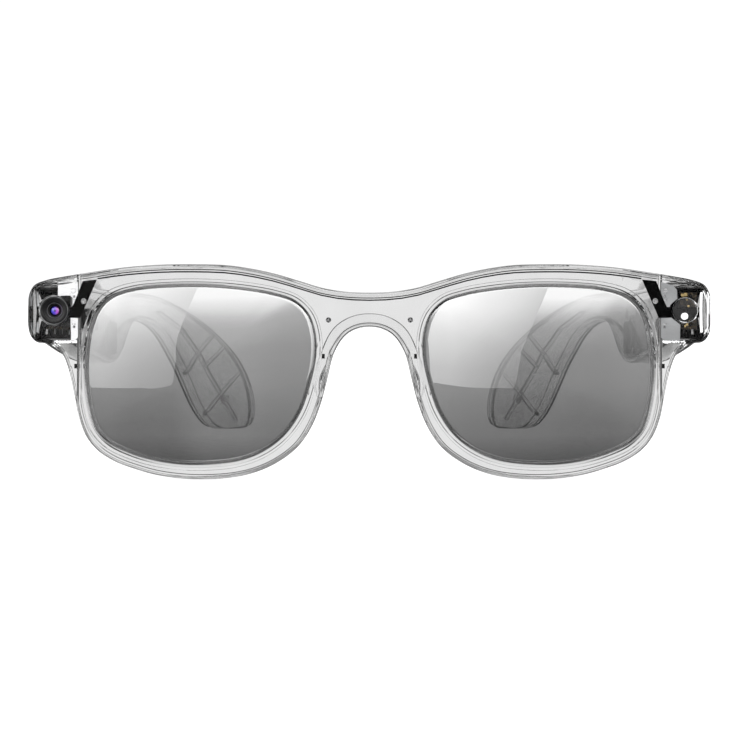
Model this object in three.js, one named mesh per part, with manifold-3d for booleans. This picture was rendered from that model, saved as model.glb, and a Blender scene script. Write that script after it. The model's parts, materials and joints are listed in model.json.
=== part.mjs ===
// Smart glasses with a clear frame: a two-layer front with tinted lenses, a camera behind the wearer's
// right corner, a status light behind the left one, and two folding temples that carry the batteries,
// boards and speakers and end in ribbed ear hooks.
//
// Millimetres. Everything is modelled as worn: +X is the wearer's left, -Y is ahead, +Z is up, z = 0 is
// half way up the lenses and y = 0 is the front of the bridge. The last lines lean the whole object back
// until the rims and the ear hooks both touch the table, which is the frame of the finished part.
import * as THREE from "three";
import { mergeVertices } from "three/addons/utils/BufferGeometryUtils.js";
import Module from "manifold-3d";

const wasm = await Module();
wasm.setup();

// ---- driving dimensions -------------------------------------------------------------------------

const WRAP_RADIUS = 380; // plan radius of the front
const WRAP_END = 60; // beyond this the front flattens out into the corner blocks
const WRAP_EASE = 5; // length over which it flattens

const FRONT_THICK = 2.6; // front layer of the frame
const LIP_THICK = 1.0; // part of it that hides the edge of the lens
const LAYER_GAP = 0.35; // glue line between the two layers
const REAR_THICK = 1.65; // rear layer of the frame
const EDGE_BEVEL = 0.7;
const LENS_LAP = 1.0; // how far a lens reaches under the lip
const LENS_THICK = 1.3;
const LENS_BULGE = 1.6; // how far the middle of a lens stands forward of its edge
const GAP = 0.3; // clearance round a piece that sits in another

const BLOCK_IN = 64.4; // corner block, inner and outer sides, underside and top
const BLOCK_OUT = 74.5;
const BLOCK_LOW = 6.4;
const BLOCK_HIGH = 19.6;
const BLOCK_BACK = 16.0;
const BLOCK_WALL = 0.8;
const MODULE_X = 68.8; // camera and status light, in the middle of their corner blocks
const MODULE_Z = 13.45;
const BARREL_R = 3.15; // camera barrel, and the round window of the light
const WINDOW_R = 2.65;

const HINGE_X = 66.9; // hinge pin
const HINGE_Y = 18.9;
const PIN_R = 0.75;
const PIN_BORE_R = 0.85;
const KNUCKLE_R = 1.5;

const ARM_START = 17.5; // where a temple begins, just behind its corner block
const ARM_END = 144.7;
const ARM_CENTRE = 70.3; // sideways place of the middle of a temple at its start
const ARM_TAPER = 0.045; // sideways slope of the straight part
const CURL_START = 62; // from here the temple curls in towards the head
const CURL = 0.0375;
const BODY_THICK = 8.2;
const NECK_THICK = 4.2;
const TIP_THICK = 3.4;
const ARM_WALL = 1.2;
const ARM_FLOOR = 1.1; // thickness of the wall against the head
const COVER_THICK = 1.05;

const CLEAR = { color: 0xe9edee, roughness: 0.08, metalness: 0, transparent: true, opacity: 0.35 };
const LENS = { color: 0x6f7274, roughness: 0.05, metalness: 0, transparent: true, opacity: 0.6 };
const BLACK = { color: 0x0b0b0c, roughness: 0.45, metalness: 0 };
const BOARD = { color: 0x1d1a14, roughness: 0.6, metalness: 0 };
const STEEL = { color: 0xc9cacb, roughness: 0.3, metalness: 1 };
const GOLD = { color: 0xc9a24a, roughness: 0.3, metalness: 1 };
const FOIL = { color: 0x8d8f92, roughness: 0.4, metalness: 0.6 };
const WHITE_LIGHT = { color: 0xffffff, roughness: 0.5, metalness: 0 };
const CAMERA_GLASS = { color: 0x3a2f66, roughness: 0.03, metalness: 0 };

// Right half of the front's outline, from the top of the bridge over the rim and the corner block and
// back under the rim to the top of the nose arch.
const FRONT_HALF = [
  [0, 17.1], [5, 17.3], [10, 18.1], [15, 19.6], [20, 21.1], [25.1, 22.25], [31, 23.1], [38.2, 23.35],
  [45.3, 23.3], [53, 22.8], [60.8, 21.8], [66, 21], [70.8, 20.05], [73.2, 19], [74.35, 16.9],
  [74.6, 13.2], [74.45, 9.3], [73.4, 7.1], [70.9, 6.35], [68.6, 5.4], [67, 3.8], [66, 1.6], [65.3, -1],
  [64.4, -5.1], [63.4, -10.1], [61.8, -14], [59.3, -17], [55.7, -19.3], [50.5, -21.2], [45.3, -22.5],
  [38.2, -23.2], [30.6, -22.9], [25.1, -21.8], [20, -19.6], [15.5, -16.2], [12.5, -11.8], [10.4, -6.5],
  [9.1, -1.5], [7.6, 4.2], [5.2, 7.9], [2.7, 9.35], [0, 9.75],
];
// Opening of the left rim, clockwise from the top.
const LENS_OPENING = [
  [38.2, 18.9], [45.3, 18.75], [51, 18.2], [55.8, 16.8], [59, 14.2], [60.9, 10], [61.9, 4], [61.9, -2],
  [61.2, -7.5], [59.8, -12], [56.8, -15.3], [52, -17.6], [46.3, -19.2], [40.2, -19.95], [34, -19.9],
  [28.1, -19.1], [22.7, -17], [18.1, -13.4], [14.8, -8.6], [12.7, -2.6], [11.5, 3.2], [11.6, 8.2],
  [13, 12.4], [16, 15.4], [20.6, 17], [26, 18], [32, 18.65],
];
// Side view of a temple: [y, z] on the lower and on the upper edge, in pairs from the hinge to the tip.
const ARM_EDGES = [
  [[17.5, 6.9], [17.5, 19.7]], [[34, 4.5], [34, 20.3]], [[50, 2.9], [50, 20.5]], [[62, 2.3], [61, 20.7]],
  [[67.5, 3], [67, 20.8]], [[72, 5.6], [72, 20.9]], [[76, 9.2], [77, 21]], [[80, 12.4], [83, 21.1]],
  [[85, 13.9], [90, 21]], [[91, 13.5], [98, 20.3]], [[96.5, 12], [106.5, 18.6]],
  [[101.2, 9.2], [115.5, 15.9]], [[105.5, 5.3], [124, 12.4]], [[109.5, 1], [131.3, 8.4]],
  [[113.2, -3.9], [137.2, 4]], [[116.8, -8.6], [141.5, -1.2]], [[120.4, -12.3], [144, -6.6]],
  [[124.2, -14.9], [144.7, -11.2]], [[128.5, -16], [143.4, -14.7]], [[133.5, -16.4], [140, -16.4]],
];
// Ribs inside an ear hook, each from [station, share of the way from the lower edge to the upper edge].
const RIBS = [
  [[9.4, 0.5], [11.1, 0.5]], [[11.1, 0.5], [12.7, 0.45]], [[12.7, 0.45], [14, 0.42]],
  [[14, 0.42], [15.2, 0.46]], [[15.2, 0.46], [17.3, 0.56]],
  [[12.3, 0.94], [12.7, 0.45]], [[13.1, 0.94], [13.5, 0.43]], [[14.6, 0.94], [15.2, 0.46]],
  [[13.3, 0.06], [12.7, 0.45]], [[13.3, 0.06], [14, 0.42]], [[15.9, 0.07], [15.2, 0.46]],
  [[15.9, 0.07], [16.4, 0.5]],
];
const RIB_THICK = 0.8;

// ---- shape helpers ------------------------------------------------------------------------------

const v3 = (x, y, z) => new THREE.Vector3(x, y, z);
const lerp = THREE.MathUtils.lerp;
const clamp01 = (v) => THREE.MathUtils.clamp(v, 0, 1);

// Points of a smooth closed curve through the given ones.
function closedCurve(points, count) {
  const curve = new THREE.CatmullRomCurve3(points.map(([x, z]) => v3(x, z, 0)), true, "centripetal");
  return curve.getPoints(count).slice(0, -1).map((p) => new THREE.Vector2(p.x, p.y));
}

const mirrored = (points) => points.map((p) => new THREE.Vector2(-p.x, p.y)).reverse();

// The outline moved outwards by a distance, with its corners kept sharp.
function offset(outline, distance) {
  const turn = THREE.ShapeUtils.isClockWise(outline) ? -1 : 1;
  const normal = (a, b) => new THREE.Vector2(b.y - a.y, a.x - b.x).normalize().multiplyScalar(turn);
  return outline.map((p, i) => {
    const here = normal(outline.at(i - 1), p);
    const out = here.clone().add(normal(p, outline[(i + 1) % outline.length])).normalize();
    return p.clone().addScaledVector(out, distance / out.dot(here));
  });
}

// How far back the front lies at a sideways place.
function wrap(x) {
  const side = Math.min(Math.abs(x), WRAP_END);
  const arc = (side * side) / (2 * WRAP_RADIUS);
  const slope = WRAP_END / WRAP_RADIUS;
  const over = Math.max(Math.abs(x) - WRAP_END, 0);
  return arc + slope * WRAP_EASE * (1 - Math.exp(-over / WRAP_EASE));
}

// Moves every vertex of a geometry by a function that changes the vector it is given.
function reshape(geometry, change) {
  const position = geometry.getAttribute("position");
  const point = new THREE.Vector3();
  for (let i = 0; i < position.count; i++) {
    change(point.fromBufferAttribute(position, i));
    position.setXYZ(i, point.x, point.y, point.z);
  }
  return geometry;
}

// Bends a flat piece to the wrap of the front, after cutting its faces up finely enough to follow it.
function wrapped(geometry, finest = 10) {
  const fine = geometryOf(solid(geometry).refineToLength(finest));
  return reshape(fine, (p) => (p.y += wrap(p.x)));
}

// A flat plate in the X-Z plane between two depths, with bevelled edges where a bevel is given.
function plate(outline, front, back, { holes = [], bevel = 0 } = {}) {
  const shape = new THREE.Shape(THREE.ShapeUtils.isClockWise(outline) ? outline.toReversed() : outline);
  shape.holes = holes.map((hole) => new THREE.Path(hole));
  const edge = { bevelThickness: bevel, bevelSize: bevel, bevelOffset: -bevel, bevelSegments: 1 };
  const options = { depth: back - front - 2 * bevel, bevelEnabled: bevel > 0, ...edge };
  return new THREE.ExtrudeGeometry(shape, options).rotateX(Math.PI / 2).translate(0, back - bevel, 0);
}

// A closed skin through rings that all have the same number of points. The end faces are cut up as the
// flat section says.
function loft(rings, section) {
  const count = rings[0].length;
  const faces = [];
  for (let i = 0; i + 1 < rings.length; i++) {
    for (let j = 0; j < count; j++) {
      const a = i * count + j;
      const b = i * count + ((j + 1) % count);
      faces.push(a, b, a + count, b, b + count, a + count);
    }
  }
  const last = (rings.length - 1) * count;
  for (const [a, b, c] of THREE.ShapeUtils.triangulateShape(section, [])) {
    faces.push(c, b, a, last + a, last + b, last + c);
  }
  const geometry = new THREE.BufferGeometry().setFromPoints(rings.flat());
  geometry.setIndex(faces);
  return solid(geometry).volume() < 0 ? turnedOut(geometry) : geometry;
}

function turnedOut(geometry) {
  const index = geometry.getIndex().array;
  for (let i = 0; i < index.length; i += 3) [index[i + 1], index[i + 2]] = [index[i + 2], index[i + 1]];
  return geometry;
}

// A geometry as a manifold-3d solid, and back.
function solid(geometry) {
  const bare = geometry.clone();
  bare.deleteAttribute("normal");
  bare.deleteAttribute("uv");
  const merged = mergeVertices(bare, 1e-4);
  const vertProperties = new Float32Array(merged.getAttribute("position").array);
  const triVerts = new Uint32Array(merged.getIndex().array);
  return new wasm.Manifold(new wasm.Mesh({ numProp: 3, vertProperties, triVerts }));
}

function geometryOf(made) {
  const mesh = made.getMesh();
  const geometry = new THREE.BufferGeometry();
  geometry.setAttribute("position", new THREE.BufferAttribute(mesh.vertProperties, 3));
  geometry.setIndex(new THREE.BufferAttribute(mesh.triVerts, 1));
  return geometry;
}

const cut = (geometry, ...tools) =>
  geometryOf(tools.reduce((made, tool) => made.subtract(solid(tool)), solid(geometry)));
const join = (geometry, ...more) =>
  geometryOf(more.reduce((made, other) => made.add(solid(other)), solid(geometry)));

// A box between two corners.
function block([x0, y0, z0], [x1, y1, z1]) {
  const box = new THREE.BoxGeometry(x1 - x0, y1 - y0, z1 - z0);
  return box.translate((x0 + x1) / 2, (y0 + y1) / 2, (z0 + z1) / 2);
}

// Round bars along Y and along Z.
function barY(radius, x, z, y0, y1, sides = 16) {
  return new THREE.CylinderGeometry(radius, radius, y1 - y0, sides).translate(x, (y0 + y1) / 2, z);
}

function barZ(radius, x, y, z0, z1, sides = 16) {
  const bar = new THREE.CylinderGeometry(radius, radius, z1 - z0, sides).rotateX(Math.PI / 2);
  return bar.translate(x, y, (z0 + z1) / 2);
}

function mesh(name, geometry, material) {
  const made = new THREE.Mesh(geometry, new THREE.MeshStandardMaterial(material));
  made.name = name;
  return made;
}

// A bar on the axis of the camera or light, between two depths behind the front face.
function moduleBar(radius, y0, y1, side = 1) {
  return barY(radius, side * MODULE_X, MODULE_Z, FACE_Y + y0, FACE_Y + y1, 24);
}

// ---- front --------------------------------------------------------------------------------------

const halfOutline = FRONT_HALF.map(([x, z]) => [x, z]);
const otherHalf = halfOutline.slice(1, -1).map(([x, z]) => [-x, z]).reverse();
const frontOutline = closedCurve([...halfOutline, ...otherHalf], 140);
const leftOpening = closedCurve(LENS_OPENING, 48);
const openings = [leftOpening, mirrored(leftOpening)];
const FACE_Y = wrap(MODULE_X); // front face of the corner blocks

// Line of the ribbon cable that links the two sides, a little below the top edge of the front.
const RIBBON_DROP = 1.65;
const RIBBON_REACH = 59.5;
function ribbonHeight(x) {
  const curve = new THREE.SplineCurve(FRONT_HALF.slice(0, 12).map(([px, pz]) => new THREE.Vector2(px, pz)));
  const points = curve.getPoints(110);
  const after = Math.max(points.findIndex((p) => p.x >= Math.abs(x)), 1);
  const [a, b] = [points[after - 1], points[after]];
  return lerp(a.y, b.y, (Math.abs(x) - a.x) / (b.x - a.x)) - RIBBON_DROP;
}

// A thin upright band along the ribbon's line, with half a thickness either side of it.
function ribbonBand(half, front, back, reach) {
  const steps = 34;
  const rings = [];
  for (let i = 0; i <= steps; i++) {
    const x = lerp(-reach, reach, i / steps);
    const z = ribbonHeight(x);
    const y = wrap(x);
    rings.push([v3(x, y + front, z - half), v3(x, y + back, z - half), v3(x, y + back, z + half),
      v3(x, y + front, z + half)]);
  }
  return loft(rings, sectionOf(4));
}

// A flat polygon with as many corners as a ring, for closing the ends of convex lofts.
function sectionOf(count) {
  return Array.from({ length: count }, (_, i) => {
    const turn = (2 * Math.PI * i) / count;
    return new THREE.Vector2(Math.cos(turn), Math.sin(turn));
  });
}

// Black circuit strip: from the top of the front down beside the rim and out to the camera or light.
const STRIP = [[59.4, 20.2], [62.6, 19.9], [64.9, 14.25], [72.3, 14.25], [72.3, 11.85], [63.2, 11.85]];
const STRIP_Y = [2.25, 2.55]; // behind the front face
const STRIP_RIVET = [62.4, 15.5];
const SADDLE_RIVET = [8.8, 11.2];
const RIM_PINS = { nose: [9.9, 3.4], temple: [64.1, 1.3] };

const outlineOf = (points) => points.map(([x, z]) => new THREE.Vector2(x, z));

function pinHole([x, z], half, tall, front, back) {
  return block([x - half, front + wrap(x), z - tall], [x + half, back + wrap(x), z + tall]);
}

// One layer of the frame, bevelled on the face away from the glue line.
function layer(front, back, bevel) {
  const ahead = front > 0 ? bevel + 0.5 : 0;
  const flat = plate(frontOutline, front - ahead, back + bevel + 0.5 - ahead, { holes: openings, bevel });
  const waste = ahead ? block([-80, -9, -30], [80, front, 30]) : block([-80, back, -30], [80, 9, 30]);
  return wrapped(cut(flat, waste));
}

function frontFrame() {
  const frame = layer(0, FRONT_THICK, EDGE_BEVEL);
  const seat = offset(leftOpening, LENS_LAP + GAP);
  const tools = [ribbonBand(0.45, 1.0, FRONT_THICK + 1, RIBBON_REACH + GAP)];
  for (const outline of [seat, mirrored(seat)]) {
    tools.push(wrapped(plate(outline, LIP_THICK, FRONT_THICK + 1)));
  }
  const pocket = offset(outlineOf(STRIP), 0.35);
  for (const side of [-1, 1]) {
    const strip = side < 0 ? mirrored(pocket) : pocket;
    tools.push(wrapped(plate(strip, STRIP_Y[0] - GAP, FRONT_THICK + 1), 3));
    for (const [x, z] of [SADDLE_RIVET, STRIP_RIVET]) {
      tools.push(barY(0.95, side * x, z, wrap(x) + 0.7, wrap(x) + FRONT_THICK + 1, 12));
    }
    for (const [x, z] of Object.values(RIM_PINS)) {
      tools.push(pinHole([side * x, z], 0.6, 0.85, 0.9, FRONT_THICK + 1));
    }
  }
  tools.push(moduleBar(BARREL_R + GAP, -1, FRONT_THICK + 1, -1));
  tools.push(moduleBar(WINDOW_R + GAP, -1, FRONT_THICK + 1));
  return cut(frame, ...tools);
}

function rearFrame() {
  const front = FRONT_THICK + LAYER_GAP;
  const frame = layer(front, front + REAR_THICK, 0.5);
  const tools = [-1, 1].flatMap((side) => {
    const ends = [side * (BLOCK_IN - GAP), side * (BLOCK_OUT + 2)].sort((a, b) => a - b);
    const end = block([ends[0], 0, -30], [ends[1], 30, 30]);
    const rivet = barY(0.95, side * SADDLE_RIVET[0], SADDLE_RIVET[1], 0, front + REAR_THICK - 0.3, 12);
    return [end, rivet];
  });
  return cut(frame, ...tools);
}

// A lens: rings that shrink towards a middle point, bulged forward.
function lens() {
  const shares = [1, 0.72, 0.38];
  const edge = offset(leftOpening, LENS_LAP);
  const middle = edge.reduce((sum, p) => sum.add(p), new THREE.Vector2()).divideScalar(edge.length);
  const front = LIP_THICK + GAP;
  const place = (x, z, depth, share) =>
    v3(x, wrap(x) + front + depth - LENS_BULGE * (1 - share * share), z);
  const count = edge.length;
  const points = [];
  for (const depth of [0, LENS_THICK]) {
    for (const share of shares) {
      for (const p of edge) {
        const at = middle.clone().lerp(p, share);
        points.push(place(at.x, at.y, depth, share));
      }
    }
    points.push(place(middle.x, middle.y, depth, 0));
  }
  const back = shares.length * count + 1;
  const faces = [];
  const quad = (a, b, c, d) => faces.push(a, b, c, a, c, d);
  for (let j = 0; j < count; j++) {
    const k = (j + 1) % count;
    for (let r = 0; r + 1 < shares.length; r++) {
      const inner = (r + 1) * count;
      quad(r * count + j, r * count + k, inner + k, inner + j);
      quad(back + r * count + k, back + r * count + j, back + inner + j, back + inner + k);
    }
    const inmost = (shares.length - 1) * count;
    faces.push(inmost + j, inmost + k, back - 1);
    faces.push(back + inmost + k, back + inmost + j, 2 * back - 1);
    quad(k, j, back + j, back + k);
  }
  const geometry = new THREE.BufferGeometry().setFromPoints(points);
  geometry.setIndex(faces);
  return solid(geometry).volume() < 0 ? turnedOut(geometry) : geometry;
}

// Soft clear saddle behind the bridge: an arch along the nose gap with a pad at each end.
function noseSaddle() {
  const half = FRONT_HALF.slice(-6).reverse();
  const path = [...half.slice(1).map(([x, z]) => [-x, z]).reverse(), ...half];
  const curve = new THREE.CatmullRomCurve3(path.map(([x, z]) => v3(x, 0, z)), false, "centripetal");
  const steps = 26;
  const rings = [];
  for (let i = 0; i <= steps; i++) {
    const at = curve.getPoint(i / steps);
    const along = curve.getTangent(i / steps);
    const out = v3(-along.z, 0, along.x); // away from the nose
    const pad = THREE.MathUtils.smoothstep(-at.z, -8, 2); // 0 on the arch, 1 on the pads
    const end = Math.sin(Math.PI * clamp01(Math.min(i, steps - i) / 3) * 0.5) * 0.75 + 0.25;
    const front = wrap(at.x) + FRONT_THICK + LAYER_GAP + REAR_THICK + GAP;
    const deep = lerp(1.6, 6.5 * end, pad);
    const wide = lerp(3.0, 2.2 * end, pad);
    const splay = lerp(0, 1.8, pad);
    const corner = (side, depth) =>
      at.clone().addScaledVector(out, side + (splay * depth) / 6.5).setY(front + depth);
    rings.push([corner(0.1, 0), corner(0.1, deep * 0.85), corner(0.4, deep), corner(wide - 0.5, deep),
      corner(wide, deep * 0.8), corner(wide, 0)]);
  }
  return loft(rings, sectionOf(6));
}

function rimPin([x, z]) {
  return pinHole([x, z], 0.3, 0.5, 1.2, 2.3);
}

// ---- corner blocks ------------------------------------------------------------------------------

const HOUSING_FRONT = FACE_Y + FRONT_THICK + LAYER_GAP;

// Rounded rectangle with larger corners on the outer side.
function blockOutline(inset) {
  const shape = new THREE.Shape();
  const [x0, x1] = [BLOCK_IN + inset, BLOCK_OUT - inset];
  const [z0, z1] = [BLOCK_LOW + inset, BLOCK_HIGH - inset];
  const [small, large] = [0.9, 2.4 - inset];
  shape.moveTo(x0 + small, z0).lineTo(x1 - large, z0).quadraticCurveTo(x1, z0, x1, z0 + large);
  shape.lineTo(x1, z1 - large).quadraticCurveTo(x1, z1, x1 - large, z1);
  shape.lineTo(x0 + small, z1).quadraticCurveTo(x0, z1, x0, z1 - small);
  shape.lineTo(x0, z0 + small).quadraticCurveTo(x0, z0, x0 + small, z0);
  return shape.getPoints(4).slice(0, -1);
}

function endHousing() {
  const shell = plate(blockOutline(0), HOUSING_FRONT, BLOCK_BACK);
  const hollow = plate(blockOutline(BLOCK_WALL), HOUSING_FRONT - 1, BLOCK_BACK - BLOCK_WALL);
  return cut(shell, hollow);
}

const stripSpan = (outline) => wrapped(plate(outline, STRIP_Y[0], STRIP_Y[1]), 3);

function flexStrip(padRadius) {
  const strip = stripSpan(outlineOf(STRIP));
  const hole = barY(0.65, ...STRIP_RIVET, 5, 10, 12);
  return cut(padRadius ? join(strip, moduleBar(padRadius, ...STRIP_Y)) : strip, hole);
}

// The camera's strip ends where the module begins.
function cameraStrip() {
  return cut(flexStrip(0), moduleBar(BARREL_R + GAP, -1, 9), block([MODULE_X, 0, 0], [BLOCK_OUT, 20, 20]));
}

function stripRivet() {
  const [x, z] = STRIP_RIVET;
  const y = wrap(x);
  return barY(0.35, x, z, y + 1.0, y + 2.6, 12);
}

function saddleRivet() {
  const [x, z] = SADDLE_RIVET;
  return barY(0.62, x, z, wrap(x) + 1.0, wrap(x) + FRONT_THICK + LAYER_GAP + REAR_THICK - 0.7, 12);
}

const CAMERA_BODY_Y = [HOUSING_FRONT + 0.65, HOUSING_FRONT + 4.85];

function cameraBody() {
  return block([MODULE_X - 3.3, CAMERA_BODY_Y[0], MODULE_Z - 3.6],
    [MODULE_X + 3.3, CAMERA_BODY_Y[1], MODULE_Z + 3.6]);
}

// Open tube that looks out through the front, with a step that holds the outer lens.
function cameraBarrel() {
  const [front, back] = [FACE_Y + 0.15, CAMERA_BODY_Y[0] - GAP];
  return turned([[2.5, front], [2.8, front], [BARREL_R, front + 0.3], [BARREL_R, back], [1.9, back],
    [1.9, front + 1.2], [2, front + 0.7], [2.5, front]]);
}

function cameraLens() {
  const front = FACE_Y + 1.1;
  return turned([[0, front], [0.6, front + 0.08], [1.1, front + 0.3], [1.5, front + 0.65],
    [1.55, front + 1], [1.55, front + 1.6], [0, front + 1.6]]);
}

// A piece turned about the axis of the camera, from [radius, depth] along its outside.
function turned(profile) {
  const points = profile.map(([radius, y]) => new THREE.Vector2(radius, y));
  return new THREE.LatheGeometry(points, 24).translate(MODULE_X, 0, MODULE_Z);
}

function board(half, tall, y0, y1) {
  return block([MODULE_X - half, y0, MODULE_Z - tall], [MODULE_X + half, y1, MODULE_Z + tall]);
}

// ---- hinge --------------------------------------------------------------------------------------

const BRACKET_Y = [BLOCK_BACK + GAP, BLOCK_BACK + GAP + 0.8];
const BRACKET_X = [HINGE_X - KNUCKLE_R, 70.4];
const BRACKET_Z = [6.9, 19.3];
const KNUCKLES = { low: [8.6, 11.3], leaf: [11.6, 14.6], high: [14.9, 17.6] };
const BRACKET_SCREWS = [10.2, 17.1];
const BRACKET_SCREW_X = 66.7;

const knuckle = ([z0, z1], grow = 0) =>
  barZ(KNUCKLE_R + grow, HINGE_X, HINGE_Y, z0 - grow * 0.8, z1 + grow * 0.8);
const pinBore = () => barZ(PIN_BORE_R, HINGE_X, HINGE_Y, 0, 25);

function hingeBracket() {
  const [low, high] = [0, 1].map((end) => [BRACKET_X[end], BRACKET_Y[end], BRACKET_Z[end]]);
  const webs = [KNUCKLES.low, KNUCKLES.high].flatMap((span) => {
    const half = KNUCKLE_R * 0.8;
    const web = block([HINGE_X - half, BRACKET_Y[0] + 0.2, span[0]], [HINGE_X + half, HINGE_Y, span[1]]);
    return [web, knuckle(span)];
  });
  const holes = BRACKET_SCREWS.map((z) => barY(0.75, BRACKET_SCREW_X, z, 15, BRACKET_Y[1] - 0.1, 12));
  return cut(join(block(low, high), ...webs), pinBore(), ...holes);
}

function bracketScrew(z) {
  return barY(0.45, BRACKET_SCREW_X, z, BRACKET_Y[0] + 0.02, BRACKET_Y[1] - 0.35, 12);
}

const LEAF_X = [67.75, 68.55];

function hingeLeaf() {
  const flap = block([LEAF_X[0], HINGE_Y + 1, 9], [LEAF_X[1], HINGE_Y + 11.5, 15.3]);
  const [z0, z1] = KNUCKLES.leaf;
  const web = block([HINGE_X, HINGE_Y, z0], [LEAF_X[1], HINGE_Y + 1.6, z1]);
  const leaf = join(flap, web, knuckle(KNUCKLES.leaf));
  return cut(leaf, pinBore(), knuckle(KNUCKLES.low, 0.35), knuckle(KNUCKLES.high, 0.35));
}

// Room for the knuckles in the front end of a temple.
function hingeNotch() {
  const room = KNUCKLE_R + 0.45;
  const [low, high] = [KNUCKLES.low[0] - 0.8, KNUCKLES.high[1] + 1];
  return block([HINGE_X - 9, 0, low], [HINGE_X + room, HINGE_Y + room, high]);
}

function hingePin() {
  const shank = barZ(PIN_R, HINGE_X, HINGE_Y, 8.2, 17.8);
  return join(shank, barZ(1.25, HINGE_X, HINGE_Y, 17.75, 18.3));
}

// ---- temples ------------------------------------------------------------------------------------

// Sideways place of the middle of a temple, and its thickness, at a distance back.
const armCentre = (y) =>
  ARM_CENTRE - ARM_TAPER * (y - ARM_START) - CURL * Math.max(y - CURL_START, 0) ** 1.5;
const armThick = (y) =>
  lerp(BODY_THICK, NECK_THICK, THREE.MathUtils.smoothstep(y, 60, 88)) -
  (NECK_THICK - TIP_THICK) * clamp01((y - 88) / (ARM_END - 88));

const edgeCurves = [0, 1].map((edge) =>
  new THREE.CatmullRomCurve3(ARM_EDGES.map((pair) => v3(0, ...pair[edge])), false, "centripetal"));

// Lower and upper edge of the side view at a station, which may lie between two listed ones.
function edgesAt(station) {
  return edgeCurves.map((curve) => curve.getPoint(station / (ARM_EDGES.length - 1)));
}

// A point of a temple: at a station, some millimetres in from its lower (0) or upper (1) edge, and
// sideways from its middle by a function of its thickness.
function armPoint(station, edge, inset, out) {
  const [low, high] = edgesAt(station);
  const share = inset / low.distanceTo(high);
  const at = low.lerp(high, edge ? 1 - share : share);
  return at.setX(armCentre(at.y) + out(armThick(at.y)));
}

const WHOLE = ARM_EDGES.map((_, i) => i);

// The moulding against the head: a trough that is open outwards, closed at both ends.
function armTrough() {
  const inner = (t) => -t / 2;
  const rim = (t) => t / 2 - COVER_THICK - GAP;
  const chamfer = (t) => -t / 2 + 0.8;
  const stations = [0, 0.08, 0.09, ...WHOLE.slice(1, 18), 17.5, 17.52, 18, 19];
  const rings = stations.map((s) => {
    const hollow = s >= 0.09 && s <= 17.5;
    const floor = hollow ? (t) => -t / 2 + ARM_FLOOR : (t) => rim(t) - 0.05;
    return [armPoint(s, 0, 0, rim), armPoint(s, 0, 0, chamfer), armPoint(s, 0, 0.8, inner),
      armPoint(s, 1, 0.8, inner), armPoint(s, 1, 0, chamfer), armPoint(s, 1, 0, rim),
      armPoint(s, 1, ARM_WALL, rim), armPoint(s, 1, ARM_WALL, floor), armPoint(s, 0, ARM_WALL, floor),
      armPoint(s, 0, ARM_WALL, rim)];
  });
  const corners = [[0, 9], [0, 1], [1, 0], [19, 0], [20, 1], [20, 9], [19, 9], [19, 8], [1, 8], [1, 9]];
  return loft(rings, corners.map(([x, y]) => new THREE.Vector2(x, y)));
}

// A rib of the ear hook: an upright wall from one point of the side view to another.
function rib([from, to]) {
  const steps = 3;
  const rings = [];
  const place = ([station, share]) => {
    const [low, high] = edgesAt(station);
    return low.lerp(high, share);
  };
  const [start, end] = [place(from), place(to)];
  const across = end.clone().sub(start).normalize();
  const side = v3(0, -across.z, across.y).multiplyScalar(RIB_THICK / 2);
  for (let i = 0; i <= steps; i++) {
    const at = start.clone().lerp(end, i / steps);
    const ring = [[-1, 0], [1, 0], [1, 1], [-1, 1]].map(([way, top]) => {
      const p = at.clone().addScaledVector(side, way);
      const t = armThick(p.y);
      return p.setX(armCentre(p.y) + (top ? t / 2 - COVER_THICK - GAP - 0.4 : -t / 2 + ARM_FLOOR - 0.4));
    });
    rings.push(ring);
  }
  return loft(rings, sectionOf(4));
}

const TIP_SCREW = { station: 15.6, share: 0.5 };
const SCREW_R = 0.5;
const SCREW_HOLE_R = 0.85;
const BOSS_R = 1.4;
function tipScrewPlace() {
  const [low, high] = edgesAt(TIP_SCREW.station);
  const at = low.lerp(high, TIP_SCREW.share);
  return at.setX(armCentre(at.y));
}

// Round bar across a temple, square to its side.
function barAcross(radius, at, out0, out1, sides = 12) {
  const slope = (armCentre(at.y + 1) - armCentre(at.y - 1)) / 2;
  const bar = new THREE.CylinderGeometry(radius, radius, out1 - out0, sides);
  bar.rotateZ(-Math.PI / 2).translate((out0 + out1) / 2, 0, 0).rotateZ(-Math.atan(slope));
  return bar.translate(at.x, at.y, at.z);
}

const BUTTON = { y: 27, half: 3.4, wide: 1.4 };
const BUTTON_TOP = 20.7; // just proud of the upper edge of the temple
const SWITCH_TOP = 17.5;
const SPEAKER_Y = [57, 67.5];
const MESH_Y = [57.5, 64.5];

const buttonX = armCentre(BUTTON.y);

function buttonSlot() {
  return block([buttonX - BUTTON.wide - GAP, BUTTON.y - BUTTON.half - GAP, 15],
    [buttonX + BUTTON.wide + GAP, BUTTON.y + BUTTON.half + GAP, 25]);
}

// The mesh over the speaker, in the underside of the body, and the slot it sits in.
const MESH_Z = [2.8, 4.4];
const MESH_HALF = 1.2;
function speakerMesh(grow = 0, under = 0) {
  const x = armCentre((MESH_Y[0] + MESH_Y[1]) / 2) - 0.3;
  const half = MESH_HALF + grow;
  const [y0, y1] = [MESH_Y[0] - grow, MESH_Y[1] + grow];
  return block([x - half, y0, MESH_Z[0] - under], [x + half, y1, MESH_Z[1] + grow]);
}

const CHARGE = { y: 38, z: 12.5, long: 4.5, tall: 2.2 };
const chargeFace = armCentre(CHARGE.y) - armThick(CHARGE.y) / 2 - 0.25;

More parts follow.
